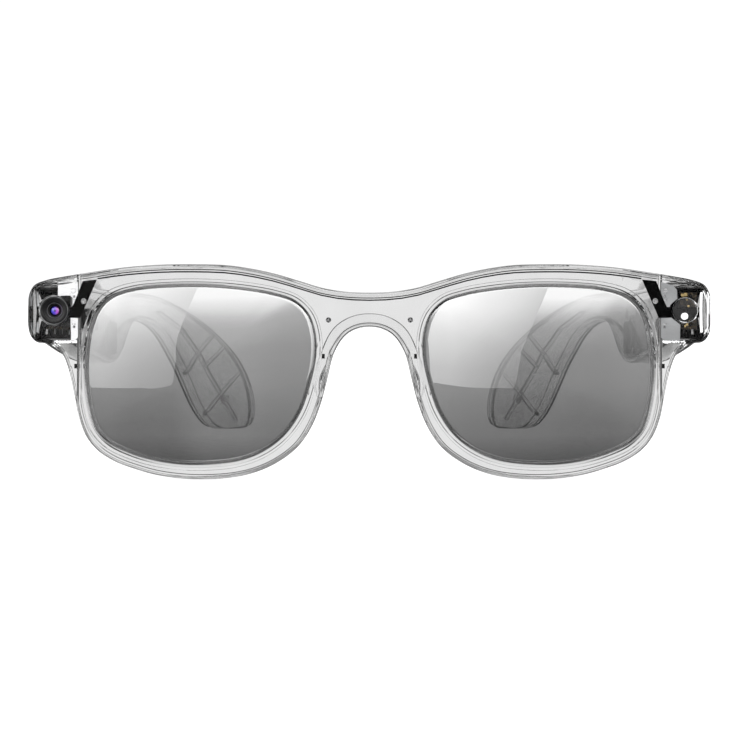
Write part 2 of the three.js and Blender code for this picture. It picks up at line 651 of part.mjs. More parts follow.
function templeArm({ charger }) {
  const boss = barAcross(BOSS_R, tipScrewPlace(), -1.1, 0.2);
  const whole = join(armTrough(), ...RIBS.map(rib), boss);
  const screwHole = barAcross(SCREW_HOLE_R, tipScrewPlace(), -0.6, 3);
  const tools = [hingeNotch(), buttonSlot(), speakerMesh(GAP, 3), screwHole];
  if (charger) {
    const { y, z } = CHARGE;
    const [long, tall] = [CHARGE.long + GAP, CHARGE.tall + GAP];
    tools.push(block([chargeFace - 2, y - long, z - tall], [chargeFace + 3, y + long, z + tall]));
  }
  return cut(whole, ...tools);
}

function templeCover() {
  const rim = (t) => t / 2 - COVER_THICK;
  const side = (t) => t / 2 - 0.5;
  const outer = (t) => t / 2;
  const half = (s, edge) =>
    [armPoint(s, edge, 0, rim), armPoint(s, edge, 0, side), armPoint(s, edge, 0.7, outer)];
  const rings = WHOLE.map((s) => [...half(s, 0), ...half(s, 1).reverse()]);
  return cut(loft(rings, sectionOf(6)), barAcross(SCREW_HOLE_R, tipScrewPlace(), -3, 1.0));
}

function tipScrew() {
  return barAcross(SCREW_R, tipScrewPlace(), -0.3, 0.6);
}

// Parts of the body's filling, each placed from the middle of the temple outwards.
function inBody(y0, y1, z0, z1, out0, out1) {
  const [a, b] = [armCentre(y0), armCentre(y1)];
  const rings = [[a, y0], [b, y1]].map(([x, y]) => [v3(x + out0, y, z0), v3(x + out1, y, z0),
    v3(x + out1, y, z1), v3(x + out0, y, z1)]);
  return loft(rings, sectionOf(4));
}

const battery = () => inBody(32, 55, 6.4, 17.4, -2.6, 1.2);
const circuitBoard = () => inBody(20, 55, 8, 16.9, 1.6, 2.4);
const tactSwitch = () => inBody(24.5, 29.5, SWITCH_TOP - 1.6, SWITCH_TOP, -1.6, 1.1);

// Speaker box with a roof-shaped top.
function speaker() {
  const [y0, y1] = SPEAKER_Y;
  const rings = [y0, y1].map((y) => {
    const x = armCentre(y);
    return [v3(x - 2.5, y, 4.9), v3(x + 2.3, y, 4.9), v3(x + 2.3, y, 13), v3(x, y, 15), v3(x - 2.5, y, 13)];
  });
  return loft(rings, sectionOf(5));
}

// Button cap with a stem down to its switch.
function button() {
  const { y, half, wide } = BUTTON;
  const stem = 0.8;
  const cap = block([buttonX - wide, y - half, BUTTON_TOP - 1.9], [buttonX + wide, y + half, BUTTON_TOP]);
  return join(cap, block([buttonX - stem, y - stem, SWITCH_TOP + 0.6],
    [buttonX + stem, y + stem, BUTTON_TOP - 1.5]));
}

function chargePad() {
  const { y, z, long, tall } = CHARGE;
  const pad = block([chargeFace, y - long, z - tall], [chargeFace + 1.2, y + long, z + tall]);
  return cut(pad, ...[-2, 2].map((side) => contact(side, 1.2, 1)));
}

function contact(side, radius, grow = 0) {
  const bar = new THREE.CylinderGeometry(radius, radius, 1 + 2 * grow, 16).rotateZ(Math.PI / 2);
  return bar.translate(chargeFace + 0.6, CHARGE.y + side, CHARGE.z);
}

// ---- assembly -----------------------------------------------------------------------------------

const root = new THREE.Group();

root.add(mesh("front_frame", frontFrame(), CLEAR));
root.add(mesh("rear_frame", rearFrame(), CLEAR));
root.add(mesh("nose_saddle", noseSaddle(), CLEAR));
root.add(mesh("cross_ribbon", ribbonBand(0.13, 1.35, 2.35, RIBBON_REACH - 0.3), BLACK));

const shapes = {
  lens: lens(),
  housing: endHousing(),
  bracket: hingeBracket(),
  leaf: hingeLeaf(),
  pin: hingePin(),
  cover: templeCover(),
};

// Everything that both sides have, in the coordinates of the left side.
function side(name, { strip, arm, switchName, buttonName }) {
  const group = new THREE.Group();
  const add = (part, geometry, material) => group.add(mesh(part, geometry, material));
  add(`${name}_lens`, shapes.lens, LENS);
  add(`${name}_saddle_rivet`, saddleRivet(), STEEL);
  add(`${name}_nose_rim_pin`, rimPin(RIM_PINS.nose), BLACK);
  add(`${name}_temple_rim_pin`, rimPin(RIM_PINS.temple), BLACK);
  add(`${name}_end_housing`, shapes.housing, CLEAR);
  add(`${name}_flex_strip`, strip, BLACK);
  add(`${name}_strip_rivet`, stripRivet(), STEEL);
  add(`${name}_hinge_bracket`, shapes.bracket, STEEL);
  add(`${name}_bracket_screw_lower`, bracketScrew(BRACKET_SCREWS[0]), STEEL);
  add(`${name}_bracket_screw_upper`, bracketScrew(BRACKET_SCREWS[1]), STEEL);
  add(`${name}_hinge_pin`, shapes.pin, STEEL);
  add(`${name}_hinge_leaf`, shapes.leaf, STEEL);
  add(`${name}_temple_arm`, arm, CLEAR);
  add(`${name}_temple_cover`, shapes.cover, CLEAR);
  add(`${name}_tip_screw`, tipScrew(), STEEL);
  add(`${name}_battery`, battery(), FOIL);
  add(`${name}_circuit_board`, circuitBoard(), BOARD);
  add(`${name}_speaker`, speaker(), BLACK);
  add(`${name}_speaker_mesh`, speakerMesh(), STEEL);
  add(switchName, tactSwitch(), STEEL);
  add(buttonName, button(), CLEAR);
  root.add(group);
  return group;
}

const left = side("left", {
  strip: flexStrip(2.3),
  arm: templeArm({ charger: false }),
  switchName: "power_switch",
  buttonName: "power_button",
});
const emitter = barY(0.75, MODULE_X + 0.1, MODULE_Z - 1.25, FACE_Y + 1.35, FACE_Y + 1.95);
left.add(mesh("light_window", moduleBar(WINDOW_R, 0.1, 1.0), CLEAR));
left.add(mesh("light_emitter", emitter, WHITE_LIGHT));
left.add(mesh("light_board", board(3.2, 4.2, HOUSING_FRONT + 0.9, HOUSING_FRONT + 1.7), BOARD));

const right = side("right", {
  strip: cameraStrip(),
  arm: templeArm({ charger: true }),
  switchName: "capture_switch",
  buttonName: "capture_button",
});
right.scale.x = -1;
right.add(mesh("camera_body", cameraBody(), BLACK));
right.add(mesh("camera_barrel", cameraBarrel(), BLACK));
right.add(mesh("camera_lens", cameraLens(), CAMERA_GLASS));
right.add(mesh("camera_board", board(3.2, 4.2, CAMERA_BODY_Y[1] + GAP, CAMERA_BODY_Y[1] + 1.1), BOARD));
right.add(mesh("charge_pad", chargePad(), BLACK));
right.add(mesh("charge_contact_front", contact(-2, 0.85), GOLD));
right.add(mesh("charge_contact_rear", contact(2, 0.85), GOLD));

// Lean back until the rear of the rims and the undersides of the ear hooks touch the table, then put
// the origin at the middle of the footprint.
const [RIM_REST, TIP_REST] = [v3(0, 6.3, -23.2), v3(0, 137, -16.4)];
root.rotation.x = -Math.atan2(TIP_REST.z - RIM_REST.z, TIP_REST.y - RIM_REST.y);
const box = new THREE.Box3().setFromObject(root, true);
root.position.set(0, -(box.min.y + box.max.y) / 2, -box.min.z);

export default root;
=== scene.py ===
"""Looks of the clear smart glasses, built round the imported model.

Shapes are described as worn, in millimetres: x to the wearer's left, y back from the front of the bridge,
z up from half way up the lenses. WORN turns that into the model's own frame, in metres.
"""

import json
import math
import random

import bmesh
import bpy
import numpy as np
from mathutils import Matrix, Vector
from mathutils.geometry import delaunay_2d_cdt

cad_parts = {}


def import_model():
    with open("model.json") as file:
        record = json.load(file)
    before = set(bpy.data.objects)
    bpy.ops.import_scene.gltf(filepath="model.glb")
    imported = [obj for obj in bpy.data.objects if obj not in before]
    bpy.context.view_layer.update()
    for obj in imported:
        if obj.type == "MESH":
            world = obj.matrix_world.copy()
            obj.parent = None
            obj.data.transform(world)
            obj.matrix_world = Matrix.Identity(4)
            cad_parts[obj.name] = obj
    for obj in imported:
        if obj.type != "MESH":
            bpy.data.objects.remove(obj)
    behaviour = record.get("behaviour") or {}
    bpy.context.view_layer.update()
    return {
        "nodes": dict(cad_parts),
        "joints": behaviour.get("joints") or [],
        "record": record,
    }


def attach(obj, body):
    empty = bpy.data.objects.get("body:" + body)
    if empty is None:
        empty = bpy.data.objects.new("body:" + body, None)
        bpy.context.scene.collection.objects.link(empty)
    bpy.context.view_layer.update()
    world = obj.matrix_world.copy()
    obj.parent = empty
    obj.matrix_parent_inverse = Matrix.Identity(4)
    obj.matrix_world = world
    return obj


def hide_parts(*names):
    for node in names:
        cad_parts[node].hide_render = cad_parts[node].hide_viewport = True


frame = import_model()
JOINTS = {joint["name"]: joint for joint in frame["joints"]}
MM = 0.001
SIDES = {"left": 1, "right": -1}

# ---- dimensions shared with the CAD model -------------------------------------------------------

WRAP_RADIUS = 380
WRAP_END = 60
WRAP_EASE = 5
FRONT_THICK = 2.6
LAYER_GAP = 0.35
REAR_THICK = 1.65
REAR_REACH = 64.1
LENS_REACH = 0.14
SEAT_REACH = 1.3
LENS_THICK = 1.3
LENS_BULGE = 1.6
LIP_THICK = 1.0
MODULE_X = 68.8
MODULE_Z = 13.45
BARREL_R = 3.15
WINDOW_R = 2.65
BLOCK_X = (64.4, 74.5)
BLOCK_Z = (6.4, 19.6)
BLOCK_BACK = 16.0
BLOCK_WALL = 0.8
HINGE = (66.9, 18.9, 13.1)
KNUCKLES = (8.6, 17.6)
ARM_START = 17.5
ARM_END = 144.7
ARM_CENTRE = 70.3
ARM_TAPER = 0.045
CURL_START = 62
CURL = 0.0375
BODY_THICK = 8.2
NECK_THICK = 4.2
TIP_THICK = 3.4
ARM_WALL = 1.2
ARM_FLOOR = 1.1
COVER_THICK = 1.05
GAP = 0.3
TIP_SCREW = (15.6, 0.5)
TIP_HOLE_R = 0.85
TIP_BOSS_R = 1.4
BUTTON = (27, 3.4, 1.4)
SPEAKER_Y = (57, 67.5)
SPEAKER_PLACE = (3.04, 0.355)
MESH_Y = (57.5, 64.5)
MESH_Z = (2.8, 4.4)
CHARGE = (38, 12.5, 4.5, 2.2)
STRIP_DEPTH = (2.25, 2.55)
STRIP_RIVET = (62.4, 15.5)
SADDLE_RIVET = (8.8, 11.2)

SHARP_ANGLE = 28
CAMERA_AT = (1.2, -350, -0.64)
CAMERA_LENS = 78.3

# Half of the front's outline, on the wearer's left, from the top of the bridge to the top of the nose arch.
FRONT_HALF = [
    (0, 17.1), (5, 17.3), (10, 18.1), (15, 19.6), (20, 21.1), (25.1, 22.25), (31, 23.1), (38.2, 23.35),
    (45.3, 23.3), (53, 22.8), (60.8, 21.8), (66, 21), (70.8, 20.05), (73.2, 19), (74.35, 16.9),
    (74.6, 13.2), (74.45, 9.3), (73.4, 7.1), (70.9, 6.35), (68.6, 5.4), (67, 3.8), (66, 1.6), (65.3, -1),
    (64.4, -5.1), (63.4, -10.1), (61.8, -14), (59.3, -17), (55.7, -19.3), (50.5, -21.2), (45.3, -22.5),
    (38.2, -23.2), (30.6, -22.9), (25.1, -21.8), (20, -19.6), (15.5, -16.2), (12.5, -11.8), (10.4, -6.5),
    (9.1, -1.5), (7.6, 4.2), (5.2, 7.9), (2.7, 9.35), (0, 9.75),
]
# Opening of the left rim, clockwise from the top.
LENS_OPENING = [
    (38.2, 18.9), (45.3, 18.75), (51, 18.2), (55.8, 16.8), (59, 14.2), (60.9, 10), (61.9, 4), (61.9, -2),
    (61.2, -7.5), (59.8, -12), (56.8, -15.3), (52, -17.6), (46.3, -19.2), (40.2, -19.95), (34, -19.9),
    (28.1, -19.1), (22.7, -17), (18.1, -13.4), (14.8, -8.6), (12.7, -2.6), (11.5, 3.2), (11.6, 8.2),
    (13, 12.4), (16, 15.4), (20.6, 17), (26, 18), (32, 18.65),
]
# Circuit strip from the top of the front down beside the rim to the camera or the light.
STRIP = [(59.4, 20.2), (62.6, 19.9), (64.9, 14.25), (72.3, 14.25), (72.3, 11.85), (63.2, 11.85)]
# Ribs inside an ear hook, each from (station, share of the way from the lower edge to the upper one).
RIBS = [
    ((9.4, 0.5), (11.1, 0.5)), ((11.1, 0.5), (12.7, 0.45)), ((12.7, 0.45), (14, 0.42)),
    ((14, 0.42), (15.2, 0.46)), ((15.2, 0.46), (17.3, 0.56)),
    ((12.3, 0.94), (12.7, 0.45)), ((13.1, 0.94), (13.5, 0.43)), ((14.6, 0.94), (15.2, 0.46)),
    ((13.3, 0.06), (12.7, 0.45)), ((13.3, 0.06), (14, 0.42)), ((15.9, 0.07), (15.2, 0.46)),
    ((15.9, 0.07), (16.4, 0.5)),
]
# Lower and upper edge of a temple, [y, z] in pairs from the hinge to the tip.
ARM_EDGES = [
    ((17.5, 6.9), (17.5, 19.7)), ((34, 4.5), (34, 20.3)), ((50, 2.9), (50, 20.5)), ((62, 2.3), (61, 20.7)),
    ((67.5, 3), (67, 20.8)), ((72, 5.6), (72, 20.9)), ((76, 9.2), (77, 21)), ((80, 12.4), (83, 21.1)),
    ((85, 13.9), (90, 21)), ((91, 13.5), (98, 20.3)), ((96.5, 12), (106.5, 18.6)),
    ((101.2, 9.2), (115.5, 15.9)), ((105.5, 5.3), (124, 12.4)), ((109.5, 1), (131.3, 8.4)),
    ((113.2, -3.9), (137.2, 4)), ((116.8, -8.6), (141.5, -1.2)), ((120.4, -12.3), (144, -6.6)),
    ((124.2, -14.9), (144.7, -11.2)), ((128.5, -16), (143.4, -14.7)), ((133.5, -16.4), (140, -16.4)),
]


def worn_frame():
    """Matrix from worn millimetres to the model's frame, from where the left hinge is and how it leans."""
    joint = JOINTS["left_hinge"]
    up = Vector(joint["axis"]).normalized()
    back = up.cross(Vector((1, 0, 0)))
    turn = Matrix(((1, 0, 0), back, up)).transposed()
    origin = Vector(joint["pos_m"]) - turn @ Vector(HINGE) * MM
    return Matrix.Translation(origin) @ turn.to_4x4() @ Matrix.Scale(MM, 4)


WORN = worn_frame()


# ---- curves and outlines ------------------------------------------------------------------------

SPLINE_STEPS = 24


def spline(points, closed=True):
    """Points on the centripetal Catmull-Rom curve through the given ones, SPLINE_STEPS between each two."""
    p = np.array(points, float)
    if closed:
        p = np.vstack([p[-1], p, p[:2]])
    else:
        p = np.vstack([2 * p[0] - p[1], p, 2 * p[-1] - p[-2]])
    dense = []
    for a, b, c, d in zip(p, p[1:], p[2:], p[3:]):
        t1 = np.linalg.norm(b - a) ** 0.5
        t2 = t1 + np.linalg.norm(c - b) ** 0.5
        t3 = t2 + np.linalg.norm(d - c) ** 0.5
        for t in np.linspace(t1, t2, SPLINE_STEPS, endpoint=False):
            a1 = (t1 - t) / t1 * a + t / t1 * b
            a2 = (t2 - t) / (t2 - t1) * b + (t - t1) / (t2 - t1) * c
            a3 = (t3 - t) / (t3 - t2) * c + (t - t2) / (t3 - t2) * d
            b1 = (t2 - t) / t2 * a1 + t / t2 * a2
            b2 = (t3 - t) / (t3 - t1) * a2 + (t - t1) / (t3 - t1) * a3
            dense.append((t2 - t) / (t2 - t1) * b1 + (t - t1) / (t2 - t1) * b2)
    dense.append(p[1] if closed else p[-2])
    return np.array(dense)


def smooth(points, count, closed=True):
    """The same curve with points at even distances."""
    return resample(spline(points, closed), count, closed)


def resample(line, count, closed):
    """The same line with points at even distances. A closed one repeats its first point at its end."""
    steps = np.linalg.norm(np.diff(line, axis=0), axis=1)
    along = np.concatenate([[0], np.cumsum(steps)])
    want = np.linspace(0, along[-1], count + 1)[:-1] if closed else np.linspace(0, along[-1], count)
    return np.stack([np.interp(want, along, line[:, i]) for i in range(line.shape[1])], axis=1)


def area(outline):
    x, z = outline[:, 0], outline[:, 1]
    return 0.5 * np.sum(x * np.roll(z, -1) - np.roll(x, -1) * z)


def offset(outline, distance):
    """The outline moved outwards, by one distance or by one for each of its points."""
    along = np.roll(outline, -1, axis=0) - np.roll(outline, 1, axis=0)
    along /= np.linalg.norm(along, axis=1)[:, None]
    out = np.stack([along[:, 1], -along[:, 0]], axis=1) * (1 if area(outline) > 0 else -1)
    return outline + out * np.broadcast_to(distance, len(outline))[:, None]


def circle(x, z, radius, count=48):
    turn = np.linspace(0, 2 * math.pi, count, endpoint=False)
    return np.stack([x + radius * np.cos(turn), z + radius * np.sin(turn)], axis=1)


def mirror(outline):
    return (outline * (-1, 1))[::-1]


def wrap(x):
    """How far back the front lies at a sideways place."""
    side = np.minimum(np.abs(x), WRAP_END)
    over = np.maximum(np.abs(x) - WRAP_END, 0)
    slope = WRAP_END / WRAP_RADIUS
    return side**2 / (2 * WRAP_RADIUS) + slope * WRAP_EASE * (1 - np.exp(-over / WRAP_EASE))


def inside(points, outline):
    """Which of the points lie inside an outline."""
    x, z = points[:, 0][:, None], points[:, 1][:, None]
    a, b = outline, np.roll(outline, -1, axis=0)
    crosses = (a[:, 1] > z) != (b[:, 1] > z)
    rise = np.where(b[:, 1] == a[:, 1], 1e-9, b[:, 1] - a[:, 1])
    at = a[:, 0] + (z - a[:, 1]) * (b[:, 0] - a[:, 0]) / rise
    return (crosses & (x < at)).sum(axis=1) % 2 == 1


def arm_centre(y):
    """Sideways place of the middle of a temple."""
    return ARM_CENTRE - ARM_TAPER * (y - ARM_START) - CURL * max(y - CURL_START, 0) ** 1.5


def arm_thick(y):
    ease = min(max((y - 60) / 28, 0), 1)
    ease *= ease * (3 - 2 * ease)
    taper = min(max((y - 88) / (ARM_END - 88), 0), 1)
    return BODY_THICK + (NECK_THICK - BODY_THICK) * ease - (NECK_THICK - TIP_THICK) * taper


ARM_LINES = [spline([pair[edge] for pair in ARM_EDGES], closed=False) for edge in (0, 1)]
ARM_LAST = len(ARM_EDGES) - 1


def edges_at(station):
    """Lower and upper edge of a temple's side view, as y and z."""
    at = station * SPLINE_STEPS
    i = min(int(at), len(ARM_LINES[0]) - 2)
    return [line[i] + (line[i + 1] - line[i]) * (at - i) for line in ARM_LINES]


def arm_point(station, edge, inset, out):
    """A point of a temple, some millimetres in from its lower (0) or upper (1) edge and sideways from its
    middle by a function of its thickness."""
    low, high = edges_at(station)
    share = inset / np.linalg.norm(high - low)
    y, z = low + (high - low) * (1 - share if edge else share)
    return arm_centre(y) + out(arm_thick(y)), y, z


def side_point(station, share):
    low, high = edges_at(station)
    return low + (high - low) * share


FRONT_OUTLINE = smooth(FRONT_HALF + [(-x, z) for x, z in FRONT_HALF[-2:0:-1]], 640)
OPENING = smooth(LENS_OPENING, 300)
FACE_Y = float(wrap(MODULE_X))
HOUSING_FRONT = FACE_Y + FRONT_THICK + LAYER_GAP


# ---- meshes -------------------------------------------------------------------------------------

def piece(name, body, slot, verts, faces, replaces=(), sharp=SHARP_ANGLE, side=1):
    """A mesh in worn millimetres as a piece, in the material of its slot. A side of -1 mirrors it."""
    verts = np.array(verts, float) * (side, 1, 1)
    mesh = bpy.data.meshes.new(name)
    mesh.from_pydata(verts.tolist(), [], [tuple(int(i) for i in f) for f in faces])
    mesh.transform(WORN)
    tidy = bmesh.new()
    tidy.from_mesh(mesh)
    bmesh.ops.remove_doubles(tidy, verts=tidy.verts, dist=1e-6)
    bmesh.ops.recalc_face_normals(tidy, faces=tidy.faces)
    tidy.to_mesh(mesh)
    tidy.free()
    mesh.polygons.foreach_set("use_smooth", [True] * len(mesh.polygons))
    mesh.set_sharp_from_angle(angle=math.radians(sharp))
    made = bpy.data.objects.new(name, mesh)
    bpy.context.scene.collection.objects.link(made)
    made.data.materials.append(MATERIALS[slot])
    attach(made, body)
    if replaces:
        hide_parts(*replaces)
    return made


def joined(parts):
    """Several (verts, faces) pairs as one."""
    verts, faces, count = [], [], 0
    for part_verts, part_faces in parts:
        verts.extend(part_verts)
        faces.extend([tuple(i + count for i in f) for f in part_faces])
        count += len(part_verts)
    return verts, faces


def loft(rings, closed=False):
    """A skin through rings of equal length, capped at both ends unless it closes on itself."""
    count = len(rings[0])
    verts = [v for ring in rings for v in ring]
    faces = []
    total = len(rings) if closed else len(rings) - 1
    for i in range(total):
        for j in range(count):
            a, b = i * count, ((i + 1) % len(rings)) * count
            k = (j + 1) % count
            faces.append((a + j, a + k, b + k, b + j))
    if not closed:
        faces.append(tuple(range(count))[::-1])
        faces.append(tuple(range(len(verts) - count, len(verts))))
    return verts, faces


def flat_face(outline, holes, grid):
    """Triangles that fill an outline with holes. Gives its points and its triangles."""
    loops = [outline, *holes]
    points = np.vstack(loops)
    edges = []
    start = 0
    for loop in loops:
        edges += [(start + i, start + (i + 1) % len(loop)) for i in range(len(loop))]
        start += len(loop)
    low, high = outline.min(axis=0), outline.max(axis=0)
    x, z = np.meshgrid(np.arange(low[0], high[0], grid), np.arange(low[1], high[1], grid * 1.3))
    extra = np.stack([x.ravel(), z.ravel()], axis=1)
    keep = inside(extra, outline)
    for hole in holes:
        keep &= ~inside(extra, hole)
    extra = extra[keep]
    near = np.min(np.linalg.norm(extra[:, None] - points[None, ::2], axis=2), axis=1) > grid * 0.4
    points = np.vstack([points, extra[near]])
    made = delaunay_2d_cdt([Vector(p) for p in points], edges, [], 1, 1e-7)
    verts = np.array([tuple(v) for v in made[0]])
    tris = [tuple(f) for f in made[2]]
    middle = np.array([verts[list(t)].mean(axis=0) for t in tris])
    keep = inside(middle, outline)
    for hole in holes:
        keep &= ~inside(middle, hole)
    return verts, [t for t, k in zip(tris, keep) if k]


def slab(loops, grid=2.4, place=wrap):
    """A plate between two faces. Each loop is a list of (outline, depth) from the front face to the back
    one; the first loop is the outside and the others are holes."""
    parts = []
    for end in (0, -1):
        flats = [loop[end][0] for loop in loops]
        verts, tris = flat_face(flats[0], flats[1:], grid)
        depth = loops[0][end][1]
        parts.append(([(x, depth + place(x), z) for x, z in verts], tris))
    for loop in loops:
        rings = [[(x, depth + place(x), z) for x, z in outline] for outline, depth in loop]
        verts, faces = loft(rings)
        parts.append((verts, faces[:-2]))
    return joined(parts)


def box(low, high):
    (x0, y0, z0), (x1, y1, z1) = low, high
    return loft([[(x0, y, z0), (x1, y, z0), (x1, y, z1), (x0, y, z1)] for y in (y0, y1)])


def rounded(low, high, radius, segments=3):
    """A box with rounded edges."""
    made = bmesh.new()
    verts = [made.verts.new(v) for v in box(low, high)[0]]
    for face in box(low, high)[1]:
        made.faces.new([verts[i] for i in face])
    bmesh.ops.recalc_face_normals(made, faces=made.faces)
    bmesh.ops.bevel(made, geom=list(made.edges), offset=radius, segments=segments, profile=0.5,
                    affect="EDGES")
    made.verts.index_update()
    shape = [tuple(v.co) for v in made.verts], [tuple(v.index for v in f.verts) for f in made.faces]
    made.free()
    return shape


def turned(profile, x, z, closed=False, count=72, start=0):
    """A skin turned about a line along y, from (radius, y) pairs measured from a starting depth."""
    rings = [[(px, start + y, pz) for px, pz in circle(x, z, radius, count)] for radius, y in profile]
    return loft(rings, closed)


def prism(outline, front, back, bevel=0.06):
    """A flat piece in the x-z plane with slightly rounded edges."""
    outline = np.array(outline, float)
    steps = [(-bevel, front), (0, front + bevel), (0, back - bevel), (-bevel, back)]
    return loft([[(x, y, z) for x, z in offset(outline, grow)] for grow, y in steps])


def bar_across(radius, station, share, out0, out1, count=40):
    """A round bar through a temple, square to its side."""
    y, z = side_point(station, share)
    slope = (arm_centre(y + 1) - arm_centre(y - 1)) / 2
    out = np.array((1, -slope, 0)) / math.hypot(1, slope)
    along = np.array((slope, 1, 0)) / math.hypot(1, slope)
    middle = np.array((arm_centre(y), y, z))
    rings = []
    for reach in (out0, out1):
        turns = np.linspace(0, 2 * math.pi, count, endpoint=False)
        spokes = radius * (np.cos(turns)[:, None] * along + np.sin(turns)[:, None] * (0, 0, 1))
        rings.append([tuple(middle + out * reach + spoke) for spoke in spokes])
    return loft(rings)


def scratch(shape):
    """A shape as an object that is only a tool for another shape."""
    mesh = bpy.data.meshes.new("scratch")
    mesh.from_pydata([tuple(v) for v in shape[0]], [], [tuple(f) for f in shape[1]])
    tidy = bmesh.new()
    tidy.from_mesh(mesh)
    bmesh.ops.remove_doubles(tidy, verts=tidy.verts, dist=1e-5)
    bmesh.ops.recalc_face_normals(tidy, faces=tidy.faces)
    bmesh.ops.triangulate(tidy, faces=tidy.faces)
    tidy.to_mesh(mesh)
    tidy.free()
    made = bpy.data.objects.new("scratch", mesh)
    bpy.context.scene.collection.objects.link(made)
    return made


def carved(base, add=(), cut=()):
    """A shape with others joined to it and then others cut out of it."""
    made = scratch(base)
    tools = []
    for shapes, operation in ((add, "UNION"), (cut, "DIFFERENCE")):
        for shape in shapes:
            change = made.modifiers.new(operation, "BOOLEAN")
            change.operation, change.solver, change.object = operation, "MANIFOLD", scratch(shape)
            tools.append(change.object)
    result = bpy.data.meshes.new_from_object(made.evaluated_get(bpy.context.evaluated_depsgraph_get()))
    shape = [tuple(v.co) for v in result.vertices], [tuple(f.vertices) for f in result.polygons]
    for leftover in (made, *tools):
        mesh = leftover.data
        bpy.data.objects.remove(leftover)
        bpy.data.meshes.remove(mesh)
    bpy.data.meshes.remove(result)
    return shape


# ---- materials ----------------------------------------------------------------------------------

def material(name):
    made = bpy.data.materials.new(name)
    made.use_nodes = True
    tree = made.node_tree
    return made, tree, tree.nodes["Principled BSDF"]


def node(tree, kind, **values):
    made = tree.nodes.new(kind)
    for key, value in values.items():
        if key in made.inputs:
            made.inputs[key].default_value = value
        else:
            setattr(made, key, value)
    return made


def noise(tree, scale, detail=3.0, stretch=(1, 1, 1)):
    """Noise in the piece's own coordinates, in metres."""
    where = node(tree, "ShaderNodeTexCoord")
    shape = node(tree, "ShaderNodeMapping")
    shape.inputs["Scale"].default_value = stretch
    grain = node(tree, "ShaderNodeTexNoise", Scale=scale, Detail=detail)
    tree.links.new(where.outputs["Object"], shape.inputs["Vector"])
    tree.links.new(shape.outputs["Vector"], grain.inputs["Vector"])
    return grain.outputs["Fac"]


def bump(tree, shader, height, strength, distance):
    made = node(tree, "ShaderNodeBump", Strength=strength, Distance=distance)
    tree.links.new(height, made.inputs["Height"])
    tree.links.new(made.outputs["Normal"], shader.inputs["Normal"])


def ramp(tree, value, stops):
    """Colours along a value, from (place, colour) pairs. A colour that is one number is a grey."""
    made = node(tree, "ShaderNodeValToRGB")
    bar = made.color_ramp
    while len(bar.elements) < len(stops):
        bar.elements.new(0.5)
    for element, (at, colour) in zip(bar.elements, stops):
        element.position = at
        element.color = (*colour, 1) if isinstance(colour, tuple) else (colour, colour, colour, 1)
    tree.links.new(value, made.inputs["Fac"])
    return made.outputs["Color"]


def place_parts(tree, kind):
    """The x, y and z of a place, in the named coordinates."""
    where = node(tree, "ShaderNodeTexCoord")
    split = node(tree, "ShaderNodeSeparateXYZ")
    tree.links.new(where.outputs[kind], split.inputs["Vector"])
    return split.outputs


def mixed(tree, kind, first, second):
    """Two colours combined in full by a blend mode."""
    made = node(tree, "ShaderNodeMix", data_type="RGBA", blend_type=kind)
    made.inputs["Factor"].default_value = 1
    tree.links.new(first, made.inputs[6])
    tree.links.new(second, made.inputs[7])
    return made.outputs[2]


def clear_plastic(name, tint, roughness, ripple, ior=1.49, gloss=1.0):
    """Clear moulded plastic: faint flow lines in its tint and a slight ripple of its surface."""
    made, tree, shader = material(name)
    flow = ramp(tree, noise(tree, 160, 2), [(0.3, tint * 0.985), (0.7, min(tint * 1.01, 1))])
    tree.links.new(flow, shader.inputs["Base Color"])
    shader.inputs["Transmission Weight"].default_value = 1
    shader.inputs["IOR"].default_value = ior
    shader.inputs["Specular Tint"].default_value = (gloss, gloss, gloss, 1)
    shader.inputs["Roughness"].default_value = roughness
    bump(tree, shader, noise(tree, 90, 1), ripple, 0.0002)
    return made


def tinted_lens():
    """Neutral half-mirror, darker towards its lower edge."""
    made, tree, shader = material("tinted_lens")
    height = node(tree, "ShaderNodeMapRange")
    height.inputs["From Max"].default_value = 0.045
    tree.links.new(place_parts(tree, "Object")["Z"], height.inputs["Value"])
    tint = ramp(tree, height.outputs["Result"], [(0.06, 0.13), (0.22, 0.28), (0.5, 0.33), (0.9, 0.34)])
    tree.links.new(tint, shader.inputs["Base Color"])
    shader.inputs["Transmission Weight"].default_value = 1
    shader.inputs["IOR"].default_value = 2.7
    shader.inputs["Roughness"].default_value = 0.0
    bump(tree, shader, noise(tree, 40, 1), 0.01, 0.0001)
    return made


def black_plastic(name, colour=0.012, roughness=0.4, grain=2500, gloss=0.5):
    made, tree, shader = material(name)
    shade = noise(tree, grain, 4)
    colours = ramp(tree, shade, [(0.3, colour), (0.75, colour * 1.9)])
    tree.links.new(colours, shader.inputs["Base Color"])
    shader.inputs["Roughness"].default_value = roughness
    shader.inputs["Specular IOR Level"].default_value = gloss
    bump(tree, shader, shade, 0.25, 0.00003)
    return made


def metal(name, colour, roughness, brush=(1, 1, 14)):
    made, tree, shader = material(name)
    lines = noise(tree, 1400, 5, brush)
    low, high = tuple(c * 0.82 for c in colour), colour
    tree.links.new(ramp(tree, lines, [(0.3, low), (0.7, high)]), shader.inputs["Base Color"])
    shader.inputs["Metallic"].default_value = 1
    shader.inputs["Roughness"].default_value = roughness
    bump(tree, shader, lines, 0.18, 0.00003)
    return made


